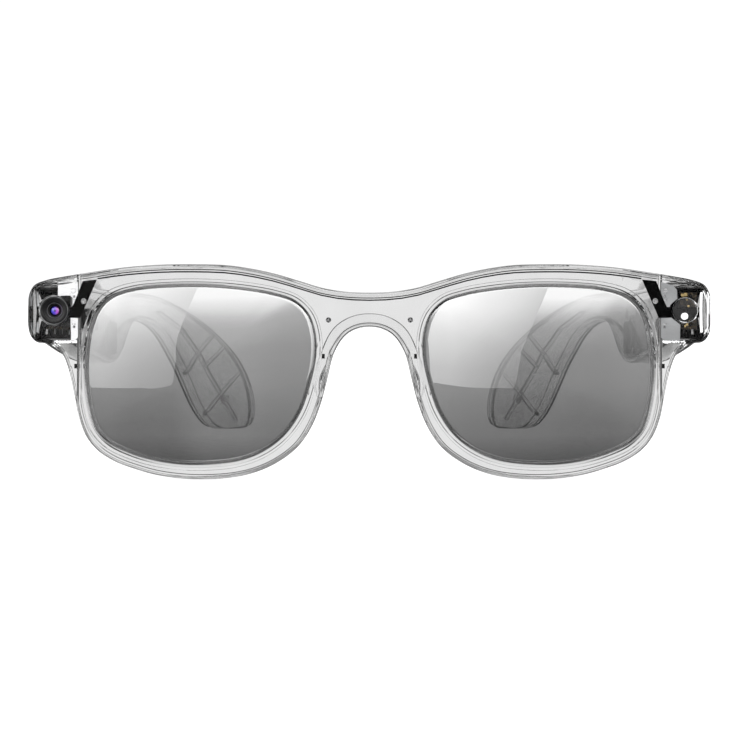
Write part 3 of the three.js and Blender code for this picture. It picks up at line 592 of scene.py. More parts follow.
def circuit_board_material():
    made, tree, shader = material("circuit_board")
    where = node(tree, "ShaderNodeTexCoord")
    tracks = node(tree, "ShaderNodeTexVoronoi", Scale=900.0)
    tracks.distance = "MANHATTAN"
    tracks.feature = "DISTANCE_TO_EDGE"
    tree.links.new(where.outputs["Object"], tracks.inputs["Vector"])
    mask, copper = (0.035, 0.026, 0.014), (0.16, 0.11, 0.05)
    colour = ramp(tree, tracks.outputs["Distance"], [(0.0, copper), (0.06, mask)])
    tree.links.new(colour, shader.inputs["Base Color"])
    shader.inputs["Roughness"].default_value = 0.45
    bump(tree, shader, tracks.outputs["Distance"], 0.3, 0.00005)
    return made


def camera_glass_material():
    """Coated front glass: its tint runs from blue to violet across it, round a dark iris. The tint is partly
    the coating's colour and partly painted reflection, and the glass glows with it as painted light.
    """
    made, tree, shader = material("camera_glass")
    place = place_parts(tree, "Generated")
    blue, indigo, violet = (0.02, 0.05, 0.5), (0.1, 0.05, 0.5), (0.5, 0.12, 0.55)
    tint = ramp(tree, place["X"], [(0.15, blue), (0.5, indigo), (0.8, violet)])
    centre = node(tree, "ShaderNodeVectorMath", operation="DISTANCE")
    flat = node(tree, "ShaderNodeCombineXYZ")
    tree.links.new(place["X"], flat.inputs["X"])
    tree.links.new(place["Z"], flat.inputs["Y"])
    tree.links.new(flat.outputs["Vector"], centre.inputs[0])
    centre.inputs[1].default_value = (0.5, 0.5, 0)
    # Painted reflection: the tint shows brightest in a ring between the dark iris and the dark edge.
    ring = ramp(tree, centre.outputs["Value"], [(0.05, 0.01), (0.14, 1), (0.3, 0.7), (0.42, 0.01)])
    colour = mixed(tree, "MULTIPLY", tint, ring)
    tree.links.new(colour, shader.inputs["Base Color"])
    # Painted glow: the same colour drives the emission, so the glass lights itself though it is no lamp.
    tree.links.new(colour, shader.inputs["Emission Color"])
    shader.inputs["Emission Strength"].default_value = 0.8
    shader.inputs["Roughness"].default_value = 0.03
    shader.inputs["Coat Weight"].default_value = 0.6
    bump(tree, shader, noise(tree, 300, 1), 0.02, 0.0001)
    return made


# Painted glow: a white that emits light, worn by parts that are no lamps.
def painted_glow_white_material():
    made, tree, shader = material("light_white")
    glow = ramp(tree, noise(tree, 900, 2), [(0.2, (0.93, 0.94, 0.95)), (0.8, (1, 1, 1))])
    tree.links.new(glow, shader.inputs["Base Color"])
    tree.links.new(glow, shader.inputs["Emission Color"])
    shader.inputs["Emission Strength"].default_value = 1.2
    shader.inputs["Roughness"].default_value = 0.5
    return made


MATERIALS = {
    "clear_frame": clear_plastic("clear_frame", 0.97, 0.0, 0.02, gloss=0.15),
    "clear_housing": clear_plastic("clear_housing", 0.88, 0.0, 0.04),
    "clear_temple": clear_plastic("clear_temple", 0.84, 0.0, 0.02),
    "clear_cover": clear_plastic("clear_cover", 0.95, 0.0, 0.02),
    "clear_button": clear_plastic("clear_button", 0.9, 0.15, 0.1),
    "soft_clear": clear_plastic("soft_clear", 0.97, 0.03, 0.05, ior=1.1),
    "light_cover": clear_plastic("light_cover", 0.95, 0.0, 0.03),
    "tinted_lens": tinted_lens(),
    "black_plastic": black_plastic("black_plastic", 0.004, 0.35, 2500, 0.3),
    "flex_black": black_plastic("flex_black", 0.001, 0.6, 6000, 0.04),
    "circuit_board": circuit_board_material(),
    "bright_steel": metal("bright_steel", (0.86, 0.86, 0.87), 0.12),
    "hinge_steel": metal("hinge_steel", (0.72, 0.73, 0.74), 0.28),
    "switch_metal": metal("switch_metal", (0.7, 0.7, 0.71), 0.25),
    "speaker_grille": metal("speaker_grille", (0.16, 0.16, 0.17), 0.4),
    "battery_foil": metal("battery_foil", (0.45, 0.46, 0.48), 0.35, (14, 1, 1)),
    # camera_glass glows with painted light through its emission.
    "camera_glass": camera_glass_material(),
    # light_white is a painted glow: it emits light on parts that are no lamps.
    "light_white": painted_glow_white_material(),
    "gold_contact": metal("gold_contact", (0.86, 0.65, 0.3), 0.18),
}


# ---- front --------------------------------------------------------------------------------------

def bevel_share(outline):
    """Width of the front bevel: wide along the top edge and narrow underneath."""
    high = np.clip((outline[:, 1] + 12) / 30, 0, 1)
    return 0.7 + 0.65 * high


def front_shell():
    share = bevel_share(FRONT_OUTLINE)
    edge = [(1.0, 0.0), (0.95, 0.045), (0.84, 0.16), (0.6, 0.19), (0.44, 0.36), (0.22, 0.42), (0.1, 0.56),
            (0.02, 0.8)]
    outside = [(offset(FRONT_OUTLINE, -inset * share), depth) for inset, depth in edge]
    outside += [(FRONT_OUTLINE, depth) for depth in (1.1, 1.9, 2.45)]
    outside.append((offset(FRONT_OUTLINE, -0.15), FRONT_THICK))
    loops = [outside]
    lip = [(0.33, 0.0), (0.08, 0.17), (0.0, 0.36), (0.0, 0.9), (0.05, LIP_THICK),
           (SEAT_REACH - 0.05, LIP_THICK + 0.02), (SEAT_REACH, LIP_THICK + 0.1), (SEAT_REACH, FRONT_THICK)]
    for outline in (OPENING, mirror(OPENING)):
        loops.append([(offset(outline, out), depth) for out, depth in lip])
    for x, radius in ((-MODULE_X, BARREL_R), (MODULE_X, WINDOW_R)):
        rims = [(0.25, 0.0), (0.07, 0.07), (0.0, 0.25), (0.0, FRONT_THICK)]
        loops.append([(circle(x, MODULE_Z, radius + 0.12 + grow), depth) for grow, depth in rims])
    verts, faces = slab(loops)
    piece("front_shell", "front", "clear_frame", verts, faces, ["front_frame"])


def rear_shell():
    cut = FRONT_OUTLINE.copy()
    cut[:, 0] = np.clip(cut[:, 0], -REAR_REACH, REAR_REACH)
    front = FRONT_THICK + LAYER_GAP
    back = front + REAR_THICK
    cut = resample(np.vstack([cut, cut[:1]]), 560, True)
    edge = [(1.06, front), (0.88, front + 0.2), (0.08, front + 0.23), (0, front + 0.34), (0, back - 0.8),
            (0.12, back - 0.4), (0.4, back - 0.12), (0.8, back)]
    outside = [(offset(cut, -inset), depth) for inset, depth in edge]
    loops = [outside]
    for outline in (OPENING, mirror(OPENING)):
        rims = [(0.82, front), (0.64, front + 0.2), (0.06, front + 0.23), (0.0, front + 0.3),
                (0.0, back - 0.3), (0.05, back - 0.12), (0.25, back)]
        loops.append([(offset(outline, out), depth) for out, depth in rims])
    verts, faces = slab(loops)
    piece("rear_shell", "front", "clear_frame", verts, faces, ["rear_frame"])


def lens(name, side):
    edge = offset(OPENING, LENS_REACH)
    middle = edge.mean(axis=0)
    front = LIP_THICK + GAP

    def ring(share, depth):
        flat = middle + (edge - middle) * share
        bulge = LENS_BULGE * (1 - share**2)
        return [(x, wrap(x) + front + depth - bulge, z) for x, z in flat]

    inner = list(np.linspace(0.05, 0.95, 19))
    rings = [ring(s, 0) for s in inner] + [ring(0.985, 0.0), ring(1, 0.15), ring(1, LENS_THICK - 0.15),
                                           ring(0.985, LENS_THICK)]
    rings += [ring(s, LENS_THICK) for s in inner[::-1]]
    verts, faces = loft(rings)
    piece(name, "front", "tinted_lens", verts, faces, [name], side=side)


def nose_saddle():
    """Soft arch behind the bridge, with a pad at each end."""
    half = FRONT_HALF[:-7:-1]
    path = spline([(-x, z) for x, z in half[:0:-1]] + half, closed=False)
    path = resample(path, 90, closed=False)
    rings = []
    for i, (x, z) in enumerate(path):
        before, after = path[max(i - 1, 0)], path[min(i + 1, len(path) - 1)]
        along = (after - before) / np.linalg.norm(after - before)
        out = np.array((-along[1], along[0]))
        pad = min(max((-z + 8) / 10, 0), 1)
        pad *= pad * (3 - 2 * pad)
        near = min(i, len(path) - 1 - i) / 10
        end = 0.25 + 0.75 * math.sin(math.pi / 2 * min(near, 1))
        deep = 1.6 + (6.5 * end - 1.6) * pad
        wide = 3.0 + (2.2 * end - 3.0) * pad
        front = float(wrap(x)) + FRONT_THICK + LAYER_GAP + REAR_THICK + GAP
        ring = [(0.12, 0)]
        for turn in np.linspace(0, math.pi, 13):
            across = wide / 2 - (wide / 2 - 0.12) * math.cos(turn)
            ring.append((across, deep * (0.55 + 0.42 * math.sin(turn))))
        ring.append((wide - 0.02, 0))
        ring = [(side + 1.8 * pad * depth / 6.5, depth) for side, depth in ring]
        rings.append([(x + out[0] * side, front + depth, z + out[1] * side) for side, depth in ring])
    verts, faces = loft(rings)
    piece("soft_saddle", "front", "soft_clear", verts, faces, ["nose_saddle"])


def rivets(name, side):
    """Domed studs that hold the saddle and the circuit strip."""
    x, z = SADDLE_RIVET
    dome = [(0.02, 0.85), (0.2, 0.88), (0.38, 0.98), (0.52, 1.13), (0.58, 1.3), (0.56, 1.5), (0.3, 1.55),
            (0.3, 3.9), (0.02, 3.9)]
    verts, faces = turned(dome, x, z, start=float(wrap(x)))
    piece(f"{name}_saddle_stud", "front", "bright_steel", verts, faces,
          [f"{name}_saddle_rivet"], side=side)
    x, z = STRIP_RIVET
    eyelet = [(0.26, 1.95), (0.34, 1.88), (0.44, 1.9), (0.46, 2.0), (0.46, 2.2), (0.36, 2.24), (0.36, 2.6),
              (0.24, 2.6)]
    verts, faces = turned(eyelet, x, z, closed=True, start=float(wrap(x)))
    piece(f"{name}_strip_eyelet", "front", "bright_steel", verts, faces,
          [f"{name}_strip_rivet"], side=side)


def strips():
    """The black circuit strips in the front layer: to the camera on one side, to the light on the other."""
    def arc(radius, start, end, count=24):
        turns = np.radians(np.linspace(start, end, count))
        return [(MODULE_X + radius * math.cos(t), MODULE_Z + radius * math.sin(t)) for t in turns]

    to_camera = STRIP[:3] + arc(BARREL_R + GAP, 166.6, 207.6) + STRIP[-1:]
    to_light = STRIP[:4] + [(72.3, 11.85)] + arc(2.45, -40.8, -139.2) + STRIP[-1:]
    hole = circle(*STRIP_RIVET, 0.62)
    for name, side, outline in (("right", -1, to_camera), ("left", 1, to_light)):
        outline = np.array(outline)
        front, back = STRIP_DEPTH
        loops = [[(outline, front), (outline, back)], [(hole, front), (hole, back)]]
        verts, faces = slab(loops, grid=1.2)
        piece(f"{name}_strip", "front", "flex_black", verts, faces,
              [f"{name}_flex_strip"], side=side)


# ---- corner blocks ------------------------------------------------------------------------------

def block_outline(inset, count=5):
    """Rounded rectangle with larger corners on the outer side."""
    x0, x1 = BLOCK_X[0] + inset, BLOCK_X[1] - inset
    z0, z1 = BLOCK_Z[0] + inset, BLOCK_Z[1] - inset
    small, large = max(0.9 - inset * 0.4, 0.2), max(2.4 - inset, 0.3)
    outline = []
    corners = ((x1, z0, large, -90), (x1, z1, large, 0), (x0, z1, small, 90), (x0, z0, small, 180))
    for x, z, radius, start in corners:
        centre = (x + (radius if x == x0 else -radius), z + (radius if z == z0 else -radius))
        for turn in np.radians(np.linspace(start, start + 90, count)):
            outline.append((centre[0] + radius * math.cos(turn), centre[1] + radius * math.sin(turn)))
    return np.array(outline)


def housing(name, side):
    back, wall = BLOCK_BACK, BLOCK_WALL
    steps = [(wall + 0.5, back - wall), (wall + 0.15, back - wall - 0.12), (wall, back - wall - 0.5),
             (wall, HOUSING_FRONT + 0.15), (wall - 0.15, HOUSING_FRONT), (0.15, HOUSING_FRONT),
             (0, HOUSING_FRONT + 0.15), (0, back - 1.2), (0.15, back - 0.6), (0.55, back - 0.18), (1.2, back)]
    verts, faces = loft([[(x, y, z) for x, z in block_outline(inset, 9)] for inset, y in steps])
    piece(f"{name}_housing", "front", "clear_housing", verts, faces,
          [f"{name}_end_housing"], side=side)


def screw_head(x, y, z, radius=0.55):
    """Countersunk head with a slot, facing forward."""
    profile = [(0.02, 0), (radius * 0.8, 0), (radius, 0.08), (radius * 0.6, 0.4), (0.02, 0.4)]
    head = turned(profile, x, z, start=y)
    return carved(head, cut=[box((x - radius * 2, y - 0.2, z - 0.07), (x + radius * 2, y + 0.12, z + 0.07))])


def carrier(name, side):
    """What fills a corner block: a metal plate with tabs, a dark tray, beads, bars and pins. The glow of the
    beads and bars and the brighter or greyer steel of each side are painted light and shade.
    """
    back = FACE_Y + FRONT_THICK
    front = back + 0.06
    if side < 0:
        plate = [(63.75, 7.6), (64.5, 6.85), (65.35, 6.85), (65.35, 12.2), (64.9, 12.4), (64.9, 16.2),
                 (65.4, 16.8), (68.2, 16.8), (68.2, 19.0), (63.75, 19.75)]
    else:
        plate = [(63.75, 7.6), (64.5, 6.85), (68.0, 6.85), (68.0, 10.2), (66.2, 11.6), (65.6, 12.4),
                 (65.6, 14.6), (66.2, 15.3), (67.3, 16.2), (67.3, 18.0), (66.6, 18.9), (63.75, 19.75)]
    # Painted light and shade: the plate is the brighter steel on the right side and the greyer steel on the
    # left, lit and shaded copies of one plate.
    lit_or_shaded_steel = "bright_steel" if side < 0 else "hinge_steel"
    holes = [box((64.35, back - 1, z - 0.28), (64.8, back + 2, z + 0.28)) for z in (16.55, 9.9)]
    shape = carved(prism(plate, front, front + 0.2, 0.04), cut=holes)
    piece(f"{name}_carrier_plate", "front", lit_or_shaded_steel, *shape, side=side)
    tabs = [rounded((64.3, front - 0.05, z - 0.16), (65.0, front + 0.1, z + 0.16), 0.04) for z in (15.8, 10.5)]
    tabs.append(screw_head(64.75, front - 0.05, 17.85, 0.6))
    piece(f"{name}_carrier_tabs", "front", "bright_steel", *joined(tabs), side=side)

    low, high = (65.4, 9.4, 7.35), (73.5, 15.0, 18.65)
    hollow = box((65.8, 8, 7.75), (73.1, 14.5, 18.25))
    window = box((72.6, 10.2, 8.6), (74, 13.6, 17.4))
    slots = [box((66.6 + 1.7 * i, 14, 8.4), (67.3 + 1.7 * i, 16, 9.6)) for i in range(4)]
    ribs = [rounded((66.2 + 2.2 * i, 13.6, 7.6), (66.6 + 2.2 * i, 14.7, 18.4), 0.1, 2) for i in range(4)]
    tray = carved(rounded(low, high, 0.4), cut=[hollow, window, *slots])
    tray = carved(tray, add=ribs)
    piece(f"{name}_carrier_tray", "front", "black_plastic", *tray, side=side)

    # Painted glow: the beads wear the glowing white, so they light themselves.
    random.seed(7 + side)
    beads = []
    x = 64.3
    while x < 69.0:
        size = random.uniform(0.16, 0.34)
        z = 6.62 + random.uniform(-0.05, 0.08)
        beads.append(turned([(0.02, front + 0.02), (size, front + 0.07), (size * 1.05, front + 0.12),
                             (size, front + 0.18), (0.02, front + 0.22)], x, z, count=20))
        x += random.uniform(0.35, 0.75)
    piece(f"{name}_weld_beads", "front", "light_white", *joined(beads), side=side)
    spans = [(8.7, 17.5)] if side > 0 else [(8.7, 10.9), (14.4, 17.6)]
    bars = [rounded((x, front, z0), (x + wide, front + 0.2, z1), 0.08) for z0, z1 in spans
            for x, wide in ((72.45, 0.5), (73.7, 0.42))]
    # Painted light and shade: the bars glow white on the left side and are grey steel on the right, lit and
    # shaded copies of the same bars.
    slot = "light_white" if side > 0 else "hinge_steel"
    piece(f"{name}_weld_bars", "front", slot, *joined(bars), side=side)
    profile = [(0.02, -0.02), (0.2, 0), (0.2, 0.2), (0.02, 0.2)]
    pins = [turned(profile, 72.6, z, count=24, start=front) for z in (8.2, 18.0)]
    piece(f"{name}_locating_pins", "front", "black_plastic", *joined(pins), side=side)


def chips(across, y, low, high, seed, count):
    """Small parts scattered over a board that faces forward."""
    random.seed(seed)
    made = []
    for _ in range(count):
        x, z = random.uniform(*across), random.uniform(low, high)
        wide, tall, deep = random.uniform(0.2, 0.8), random.uniform(0.2, 0.7), random.uniform(0.12, 0.45)
        near, far = y - deep, y + 0.02
        made.append(rounded((x - wide / 2, near, z - tall / 2), (x + wide / 2, far, z + tall / 2), 0.04, 1))
    return joined(made)


def light_unit():
    """The status light: window with a ring, and a board with its parts and more small parts beside it."""
    window = [(0.02, 0.12), (WINDOW_R - 0.12, 0.12), (WINDOW_R, 0.24), (WINDOW_R, 0.95), (0.02, 0.95)]
    verts, faces = turned(window, MODULE_X, MODULE_Z, count=96, start=FACE_Y)
    piece("light_window_disc", "front", "light_cover", verts, faces, ["light_window"])
    ring = [(WINDOW_R + 0.03, 1.2), (WINDOW_R + 0.16, 1.2), (WINDOW_R + 0.16, 1.5), (WINDOW_R + 0.03, 1.5)]
    verts, faces = turned(ring, MODULE_X, MODULE_Z, closed=True, count=96, start=FACE_Y)
    piece("light_window_ring", "front", "hinge_steel", verts, faces)
    front = HOUSING_FRONT + 0.9
    verts, faces = rounded((68.1, front, 9.3), (72.0, front + 0.8, 17.6), 0.12)
    piece("light_circuit", "front", "circuit_board", verts, faces, ["light_board"])
    dark = joined([chips((68.5, 71.6), front, 9.7, 17.2, 3, 16), chips((66.2, 67.9), 13.2, 8.6, 17.6, 5, 10)])
    piece("light_circuit_parts", "front", "black_plastic", *dark)
    bright = chips((68.5, 71.6), front, 9.7, 17.2, 11, 12)
    piece("light_circuit_ends", "front", "gold_contact", *bright)


def camera_unit():
    """Barrel with baffle steps, retaining ring, iris and front glass."""
    y, back = FACE_Y, HOUSING_FRONT + 0.65 - GAP
    steps = [(2.72, 0.14), (2.48, 0.3), (2.46, 0.55), (2.2, 0.6), (2.18, 0.8), (1.92, 0.85), (1.9, 1.05),
             (1.66, 1.1), (1.62, 1.3), (1.36, 1.36), (1.2, 1.5), (1.2, 2.9)]
    profile = [(radius, y + depth) for radius, depth in steps]
    profile += [(1.2, back), (BARREL_R, back), (BARREL_R, y + 0.5), (BARREL_R - 0.05, y + 0.3),
                (BARREL_R - 0.2, y + 0.16)]
    verts, faces = turned(profile[::-1], MODULE_X, MODULE_Z, closed=True, count=120)
    piece("camera_barrel_skin", "front", "black_plastic", verts, faces, ["camera_barrel"],
          sharp=22, side=-1)
    for name, radius, depth in (("camera_outer_ring", 3.02, 0.1), ("camera_inner_ring", 1.64, 1.03)):
        ring = [(radius - 0.04, y + depth), (radius, y + depth - 0.04), (radius + 0.05, y + depth),
                (radius + 0.05, y + depth + 0.08), (radius - 0.04, y + depth + 0.08)]
        verts, faces = turned(ring, MODULE_X, MODULE_Z, closed=True, count=120)
        piece(name, "front", "hinge_steel", verts, faces, side=-1)
    dome = [(0.02, 1.3)]
    dome += [(1.12 * math.sin(t), 1.3 + 0.5 * (1 - math.cos(t))) for t in np.radians(np.arange(10, 91, 8))]
    dome += [(1.12, 2.2), (0.02, 2.2)]
    verts, faces = turned(dome, MODULE_X, MODULE_Z, count=96, start=y)
    piece("camera_front_glass", "front", "camera_glass", verts, faces, ["camera_lens"], side=-1)


# ---- temples ------------------------------------------------------------------------------------

def stations():
    """Where a temple is sectioned: closely at both ends, and on either side of the closed ends."""
    return [0, 0.008, 0.02, 0.036, 0.08, 0.09, *np.arange(0.25, 17.5, 0.25), 17.5, 17.52, 17.8, 18.1, 18.3,
            18.5, 18.65, 18.8, 18.9, 18.96, 19]


def end_rounding(station):
    """How far the sides draw in towards the two ends."""
    for distance, radius in ((station * 16.5, 0.6), ((ARM_LAST - station) * 1.05, 0.9)):
        if distance < radius:
            return radius - math.sqrt(radius**2 - (radius - distance) ** 2)
    return 0


def trough():
    """The moulding against the head, open outwards and closed at both ends."""
    rings = []
    for s in stations():
        tuck = end_rounding(s)
        hollow = 0.09 <= s <= 17.5
        fillet = 0.35 if hollow else 0.01

        def rim(t):
            return t / 2 - COVER_THICK - GAP

        def floor(t):
            return ARM_FLOOR - t / 2 if hollow else rim(t) - 0.05

        corner = min(1.5, arm_thick(edges_at(s)[0][0]) * 0.28)
        ring = []
        for edge in (0, 1):
            half = [(ARM_WALL + fillet, floor), (ARM_WALL, lambda t: floor(t) + fillet),
                    (ARM_WALL, lambda t: rim(t) - 0.02), (ARM_WALL - 0.12, rim),
                    (0.12, rim), (0, lambda t: rim(t) - 0.12)]
            for turn in np.linspace(0, math.pi / 2, 7):
                inset, rise = corner * (1 - math.cos(turn)), corner * (1 - math.sin(turn))
                half.append((inset, lambda t, rise=rise: min(rise + tuck - t / 2, rim(t) - 0.3)))
            points = [arm_point(s, edge, inset, out) for inset, out in half]
            ring += points if edge == 0 else points[::-1]
        rings.append(ring)
    return loft(rings)


def rib(start, end):
    """An upright wall inside an ear hook, a little thinner at its top."""
    start, end = side_point(*start), side_point(*end)
    across = (end - start) / np.linalg.norm(end - start)
    across = np.array((-across[1], across[0])) * 0.42
    rings = []
    for share in np.linspace(0, 1, 7):
        ring = []
        for way, top in ((-1, 0), (1, 0), (0.75, 1), (-0.75, 1)):
            y, z = start + (end - start) * share + across * way
            t = arm_thick(y)
            out = t / 2 - COVER_THICK - GAP - 0.4 if top else ARM_FLOOR - 0.4 - t / 2
            ring.append((arm_centre(y) + out, y, z))
        rings.append(ring)
    return loft(rings)


def temple(name, side):
    room = 1.95
    low = (HINGE[0] - 9, 0, KNUCKLES[0] - 0.8)
    notch = box(low, (HINGE[0] + room, HINGE[1] + room, KNUCKLES[1] + 1))
    y, half, wide = BUTTON
    x = arm_centre(y)
    slot = box((x - wide - GAP, y - half - GAP, 15), (x + wide + GAP, y + half + GAP, 25))
    x, half = grille_middle()
    mesh_slot = box((x - half - GAP, MESH_Y[0] - GAP, -0.2),
                    (x + half + GAP, MESH_Y[1] + GAP, MESH_Z[1] + GAP))
    cuts = [notch, slot, mesh_slot, bar_across(TIP_HOLE_R, *TIP_SCREW, -0.6, 3)]
    if side < 0:
        y, z, long, tall = CHARGE
        face = arm_centre(y) - arm_thick(y) / 2 - 0.25
        cuts.append(box((face - 2, y - long - GAP, z - tall - GAP),
                        (face + 3, y + long + GAP, z + tall + GAP)))
    joins = [rib(*ends) for ends in RIBS] + [bar_across(TIP_BOSS_R, *TIP_SCREW, -1.1, 0.2)]
    verts, faces = carved(trough(), add=joins, cut=cuts)
    body = f"{name}_temple"
    piece(f"{body}_trough", body, "clear_temple", verts, faces, [f"{body}_arm"], side=side)


def temple_cover(name, side):
    rings = []
    for s in stations():
        tuck = min(end_rounding(s), 0.7)
        corner = 0.8

        def crown(share, drop=0.0):
            return lambda t: t / 2 - 0.16 * (2 * share - 1) ** 2 - min(drop + tuck, COVER_THICK - 0.25)

        low, high = edges_at(s)
        tall = np.linalg.norm(high - low)
        ring = []
        for edge in (0, 1):
            half = [(0.1, lambda t: t / 2 - COVER_THICK), (0, lambda t: t / 2 - COVER_THICK + 0.1)]
            for turn in np.linspace(0, math.pi / 2, 7):
                inset, drop = corner * (1 - math.cos(turn)), corner * (1 - math.sin(turn))
                half.append((inset, crown(inset / tall, drop * 0.8)))
            half += [(tall * share, crown(share)) for share in (0.15, 0.32)]
            points = [arm_point(s, edge, inset, out) for inset, out in half]
            ring += points if edge == 0 else points[::-1]
        rings.append(ring)
    verts, faces = carved(loft(rings), cut=[bar_across(TIP_HOLE_R, *TIP_SCREW, -3, 1.0)])
    body = f"{name}_temple"
    piece(f"{body}_cover_skin", body, "clear_cover", verts, faces, [f"{body}_cover"],
          side=side)


def in_body(y0, y1, z0, z1, out0, out1, radius=0.3):
    """A rounded box in the hollow of a temple, turned to follow it."""
    verts, faces = rounded((out0, y0, z0), (out1, y1, z1), radius)
    return [(x + arm_centre(y), y, z) for x, y, z in verts], faces


def grille_middle():
    """Sideways place of the middle of the speaker's grille, and half its width."""
    return arm_centre(sum(MESH_Y) / 2) - 0.3, 1.2


def speaker_unit(name, side):
    """Speaker box with a round driver on each of its faces, and the slotted grille under it."""
    body = f"{name}_temple"
    y0, y1 = SPEAKER_Y
    shell = [in_body(y0 + 0.1, y1 - 0.1, 4.95, 12.9, -2.45, 2.25, 0.5),
             in_body(y0 + 0.6, y1 - 0.6, 12.7, 14.3, -1.2, 1.1, 0.4)]
    piece(f"{name}_speaker_box", body, "black_plastic", *joined(shell),
          [f"{name}_speaker"], side=side)
    rims, cones = [], []
    for start, end in ((2.05, 2.42), (-2.62, -2.25)):
        opening = bar_across(2.85, *SPEAKER_PLACE, -4, 4, 64)
        rims.append(carved(bar_across(3.35, *SPEAKER_PLACE, start, end, 64), cut=[opening]))
        deep = 0.12 if start > 0 else 0
        cones.append(bar_across(2.8, *SPEAKER_PLACE, start + 0.12 - deep, end - deep, 64))
        cones.append(bar_across(1.2, *SPEAKER_PLACE, start + 0.04, end - 0.04, 48))
    piece(f"{name}_speaker_rims", body, "hinge_steel", *joined(rims), side=side)
    piece(f"{name}_speaker_cones", body, "speaker_grille", *joined(cones), side=side)
    x, half = grille_middle()
    plate = rounded((x - half, MESH_Y[0], MESH_Z[0]), (x + half, MESH_Y[1], MESH_Z[1]), 0.25)
    places = np.arange(MESH_Y[0] + 0.6, MESH_Y[1] - 0.8, 0.82)
    slots = [box((x - 0.8, y, 0), (x + 0.8, y + 0.42, 6)) for y in places]
    piece(f"{name}_slotted_grille", body, "speaker_grille", *carved(plate, cut=slots),
          [f"{name}_speaker_mesh"], side=side)


def temple_filling(name, side):
    """Battery pouch and circuit parts of a temple."""
    body = f"{name}_temple"

    def add(label, slot, shape, replaces=()):
        piece(f"{name}_{label}", body, slot, *shape, replaces, side=side)

    pouch = joined([in_body(32.2, 54.1, 6.5, 17.3, -2.5, 1.15, 0.7),
                    in_body(53.8, 54.9, 6.9, 16.9, -0.5, -0.2, 0.1)])
    add("battery_pouch", "battery_foil", pouch, [f"{name}_battery"])
    add("battery_wrap", "flex_black", in_body(36, 41, 6.42, 17.38, -2.58, 1.23, 0.72))
    random.seed(20 + side)
    dark, light = [], []
    y = 20.8
    while y < 54:
        long = random.uniform(0.8, 3.0)
        for z in (8.7, 11.4, 14.1):
            tall = random.uniform(0.6, 2.0)
            start = z + random.uniform(0, 0.5)
            target = dark if random.random() < 0.6 else light
            deep = random.uniform(0.2, 0.6)
            target.append(in_body(y, y + long, start, start + tall, 2.38, 2.4 + deep * 0.7, 0.05))
        y += long + random.uniform(0.25, 0.9)
    add("board_chips", "black_plastic", joined(dark))
    add("board_cans", "switch_metal", joined(light))


# ---- stage, light and camera --------------------------------------------------------------------

def camera():
    data = bpy.data.cameras.new("camera")
    data.lens = CAMERA_LENS
    data.clip_start, data.clip_end = 0.01, 20
    made = bpy.data.objects.new("camera", data)
    bpy.context.scene.collection.objects.link(made)
    turn = WORN.to_3x3().normalized()
    look, up = turn @ Vector((0, 1, 0)), turn @ Vector((0, 0, 1))
    right = look.cross(up)
    turned_to = Matrix((right, up, -look)).transposed().to_4x4()
    made.matrix_world = Matrix.Translation(WORN @ Vector(CAMERA_AT)) @ turned_to
    bpy.context.scene.camera = made


def stage():
    bpy.ops.mesh.primitive_circle_add(vertices=96, radius=6, fill_type="NGON", location=(0, 0, 0))
    floor = bpy.context.object
    floor.name = "floor"
    made, _, shader = material("floor")
    shader.inputs["Base Color"].default_value = (0.9, 0.9, 0.9, 1)
    shader.inputs["Roughness"].default_value = 0.9
    shader.inputs["Emission Color"].default_value = (1, 1, 1, 1)
    shader.inputs["Emission Strength"].default_value = 0.85
    floor.data.materials.append(made)
    floor.visible_transmission = floor.visible_glossy = False


def card(name, corners, rows, columns=((0, 1), (1, 1))):
    """A glowing card that only shows in reflections. Its corners, in worn millimetres, run from the lower
    left; rows and columns are (share, brightness) up and across it."""
    mesh = bpy.data.meshes.new(name)
    mesh.from_pydata([WORN @ Vector(corner) for corner in corners], [], [(0, 1, 2, 3)])
    layer = mesh.uv_layers.new(name="across")
    for place, uv in zip(layer.data, ((0, 0), (1, 0), (1, 1), (0, 1))):
        place.uv = uv
    made = bpy.data.objects.new(name, mesh)
    bpy.context.scene.collection.objects.link(made)
    skin = bpy.data.materials.new(name)
    skin.use_nodes = True
    tree = skin.node_tree
    tree.nodes.clear()
    where = node(tree, "ShaderNodeUVMap", uv_map="across")
    split = node(tree, "ShaderNodeSeparateXYZ")
    tree.links.new(where.outputs["UV"], split.inputs["Vector"])
    most = max(value for _, value in rows)
    up = ramp(tree, split.outputs["Y"], [(at, value / most) for at, value in rows])
    across = ramp(tree, split.outputs["X"], columns)
    glow = node(tree, "ShaderNodeEmission", Strength=most)
    tree.links.new(mixed(tree, "MULTIPLY", up, across), glow.inputs["Color"])
    end = node(tree, "ShaderNodeOutputMaterial")
    tree.links.new(glow.outputs["Emission"], end.inputs["Surface"])
    made.data.materials.append(skin)
    made.visible_camera = made.visible_transmission = made.visible_diffuse = made.visible_shadow = False


def cards():
    """A soft wall in front, brightest at its top, and two window-shaped cards nearer to the lenses."""
    far, near = -250, -95
    rows = [(0.0, 0.0), (0.166, 0.02), (0.26, 0.14), (0.317, 0.28), (0.4, 0.42), (0.46, 0.66), (0.53, 0.9),
            (0.56, 1.15), (0.59, 1.6), (0.625, 2.4), (0.68, 3.6), (1.0, 4.0)]
    card("front_wall", [(-430, far, -115), (430, far, -115), (430, far, 210), (-430, far, 210)], rows)
    rows = [(0.0, 1.3), (0.1, 1.55), (0.3, 2.3), (0.52, 3.3), (0.72, 4.4), (1.0, 5.5)]
    fade = [(0.0, 1.0), (0.45, 0.95), (1.0, 0.55)]
    card("right_window", [(-190, near, -7), (-84, near, -7), (-67, near, 66), (-190, near, 66)], rows, fade)
    fade = [(0.0, 1.0), (0.2, 1.0), (0.55, 0.72), (1.0, 0.45)]
    card("left_window", [(0, near, -9), (49, near, -9), (74, near, 66), (1, near, 66)], rows, fade)


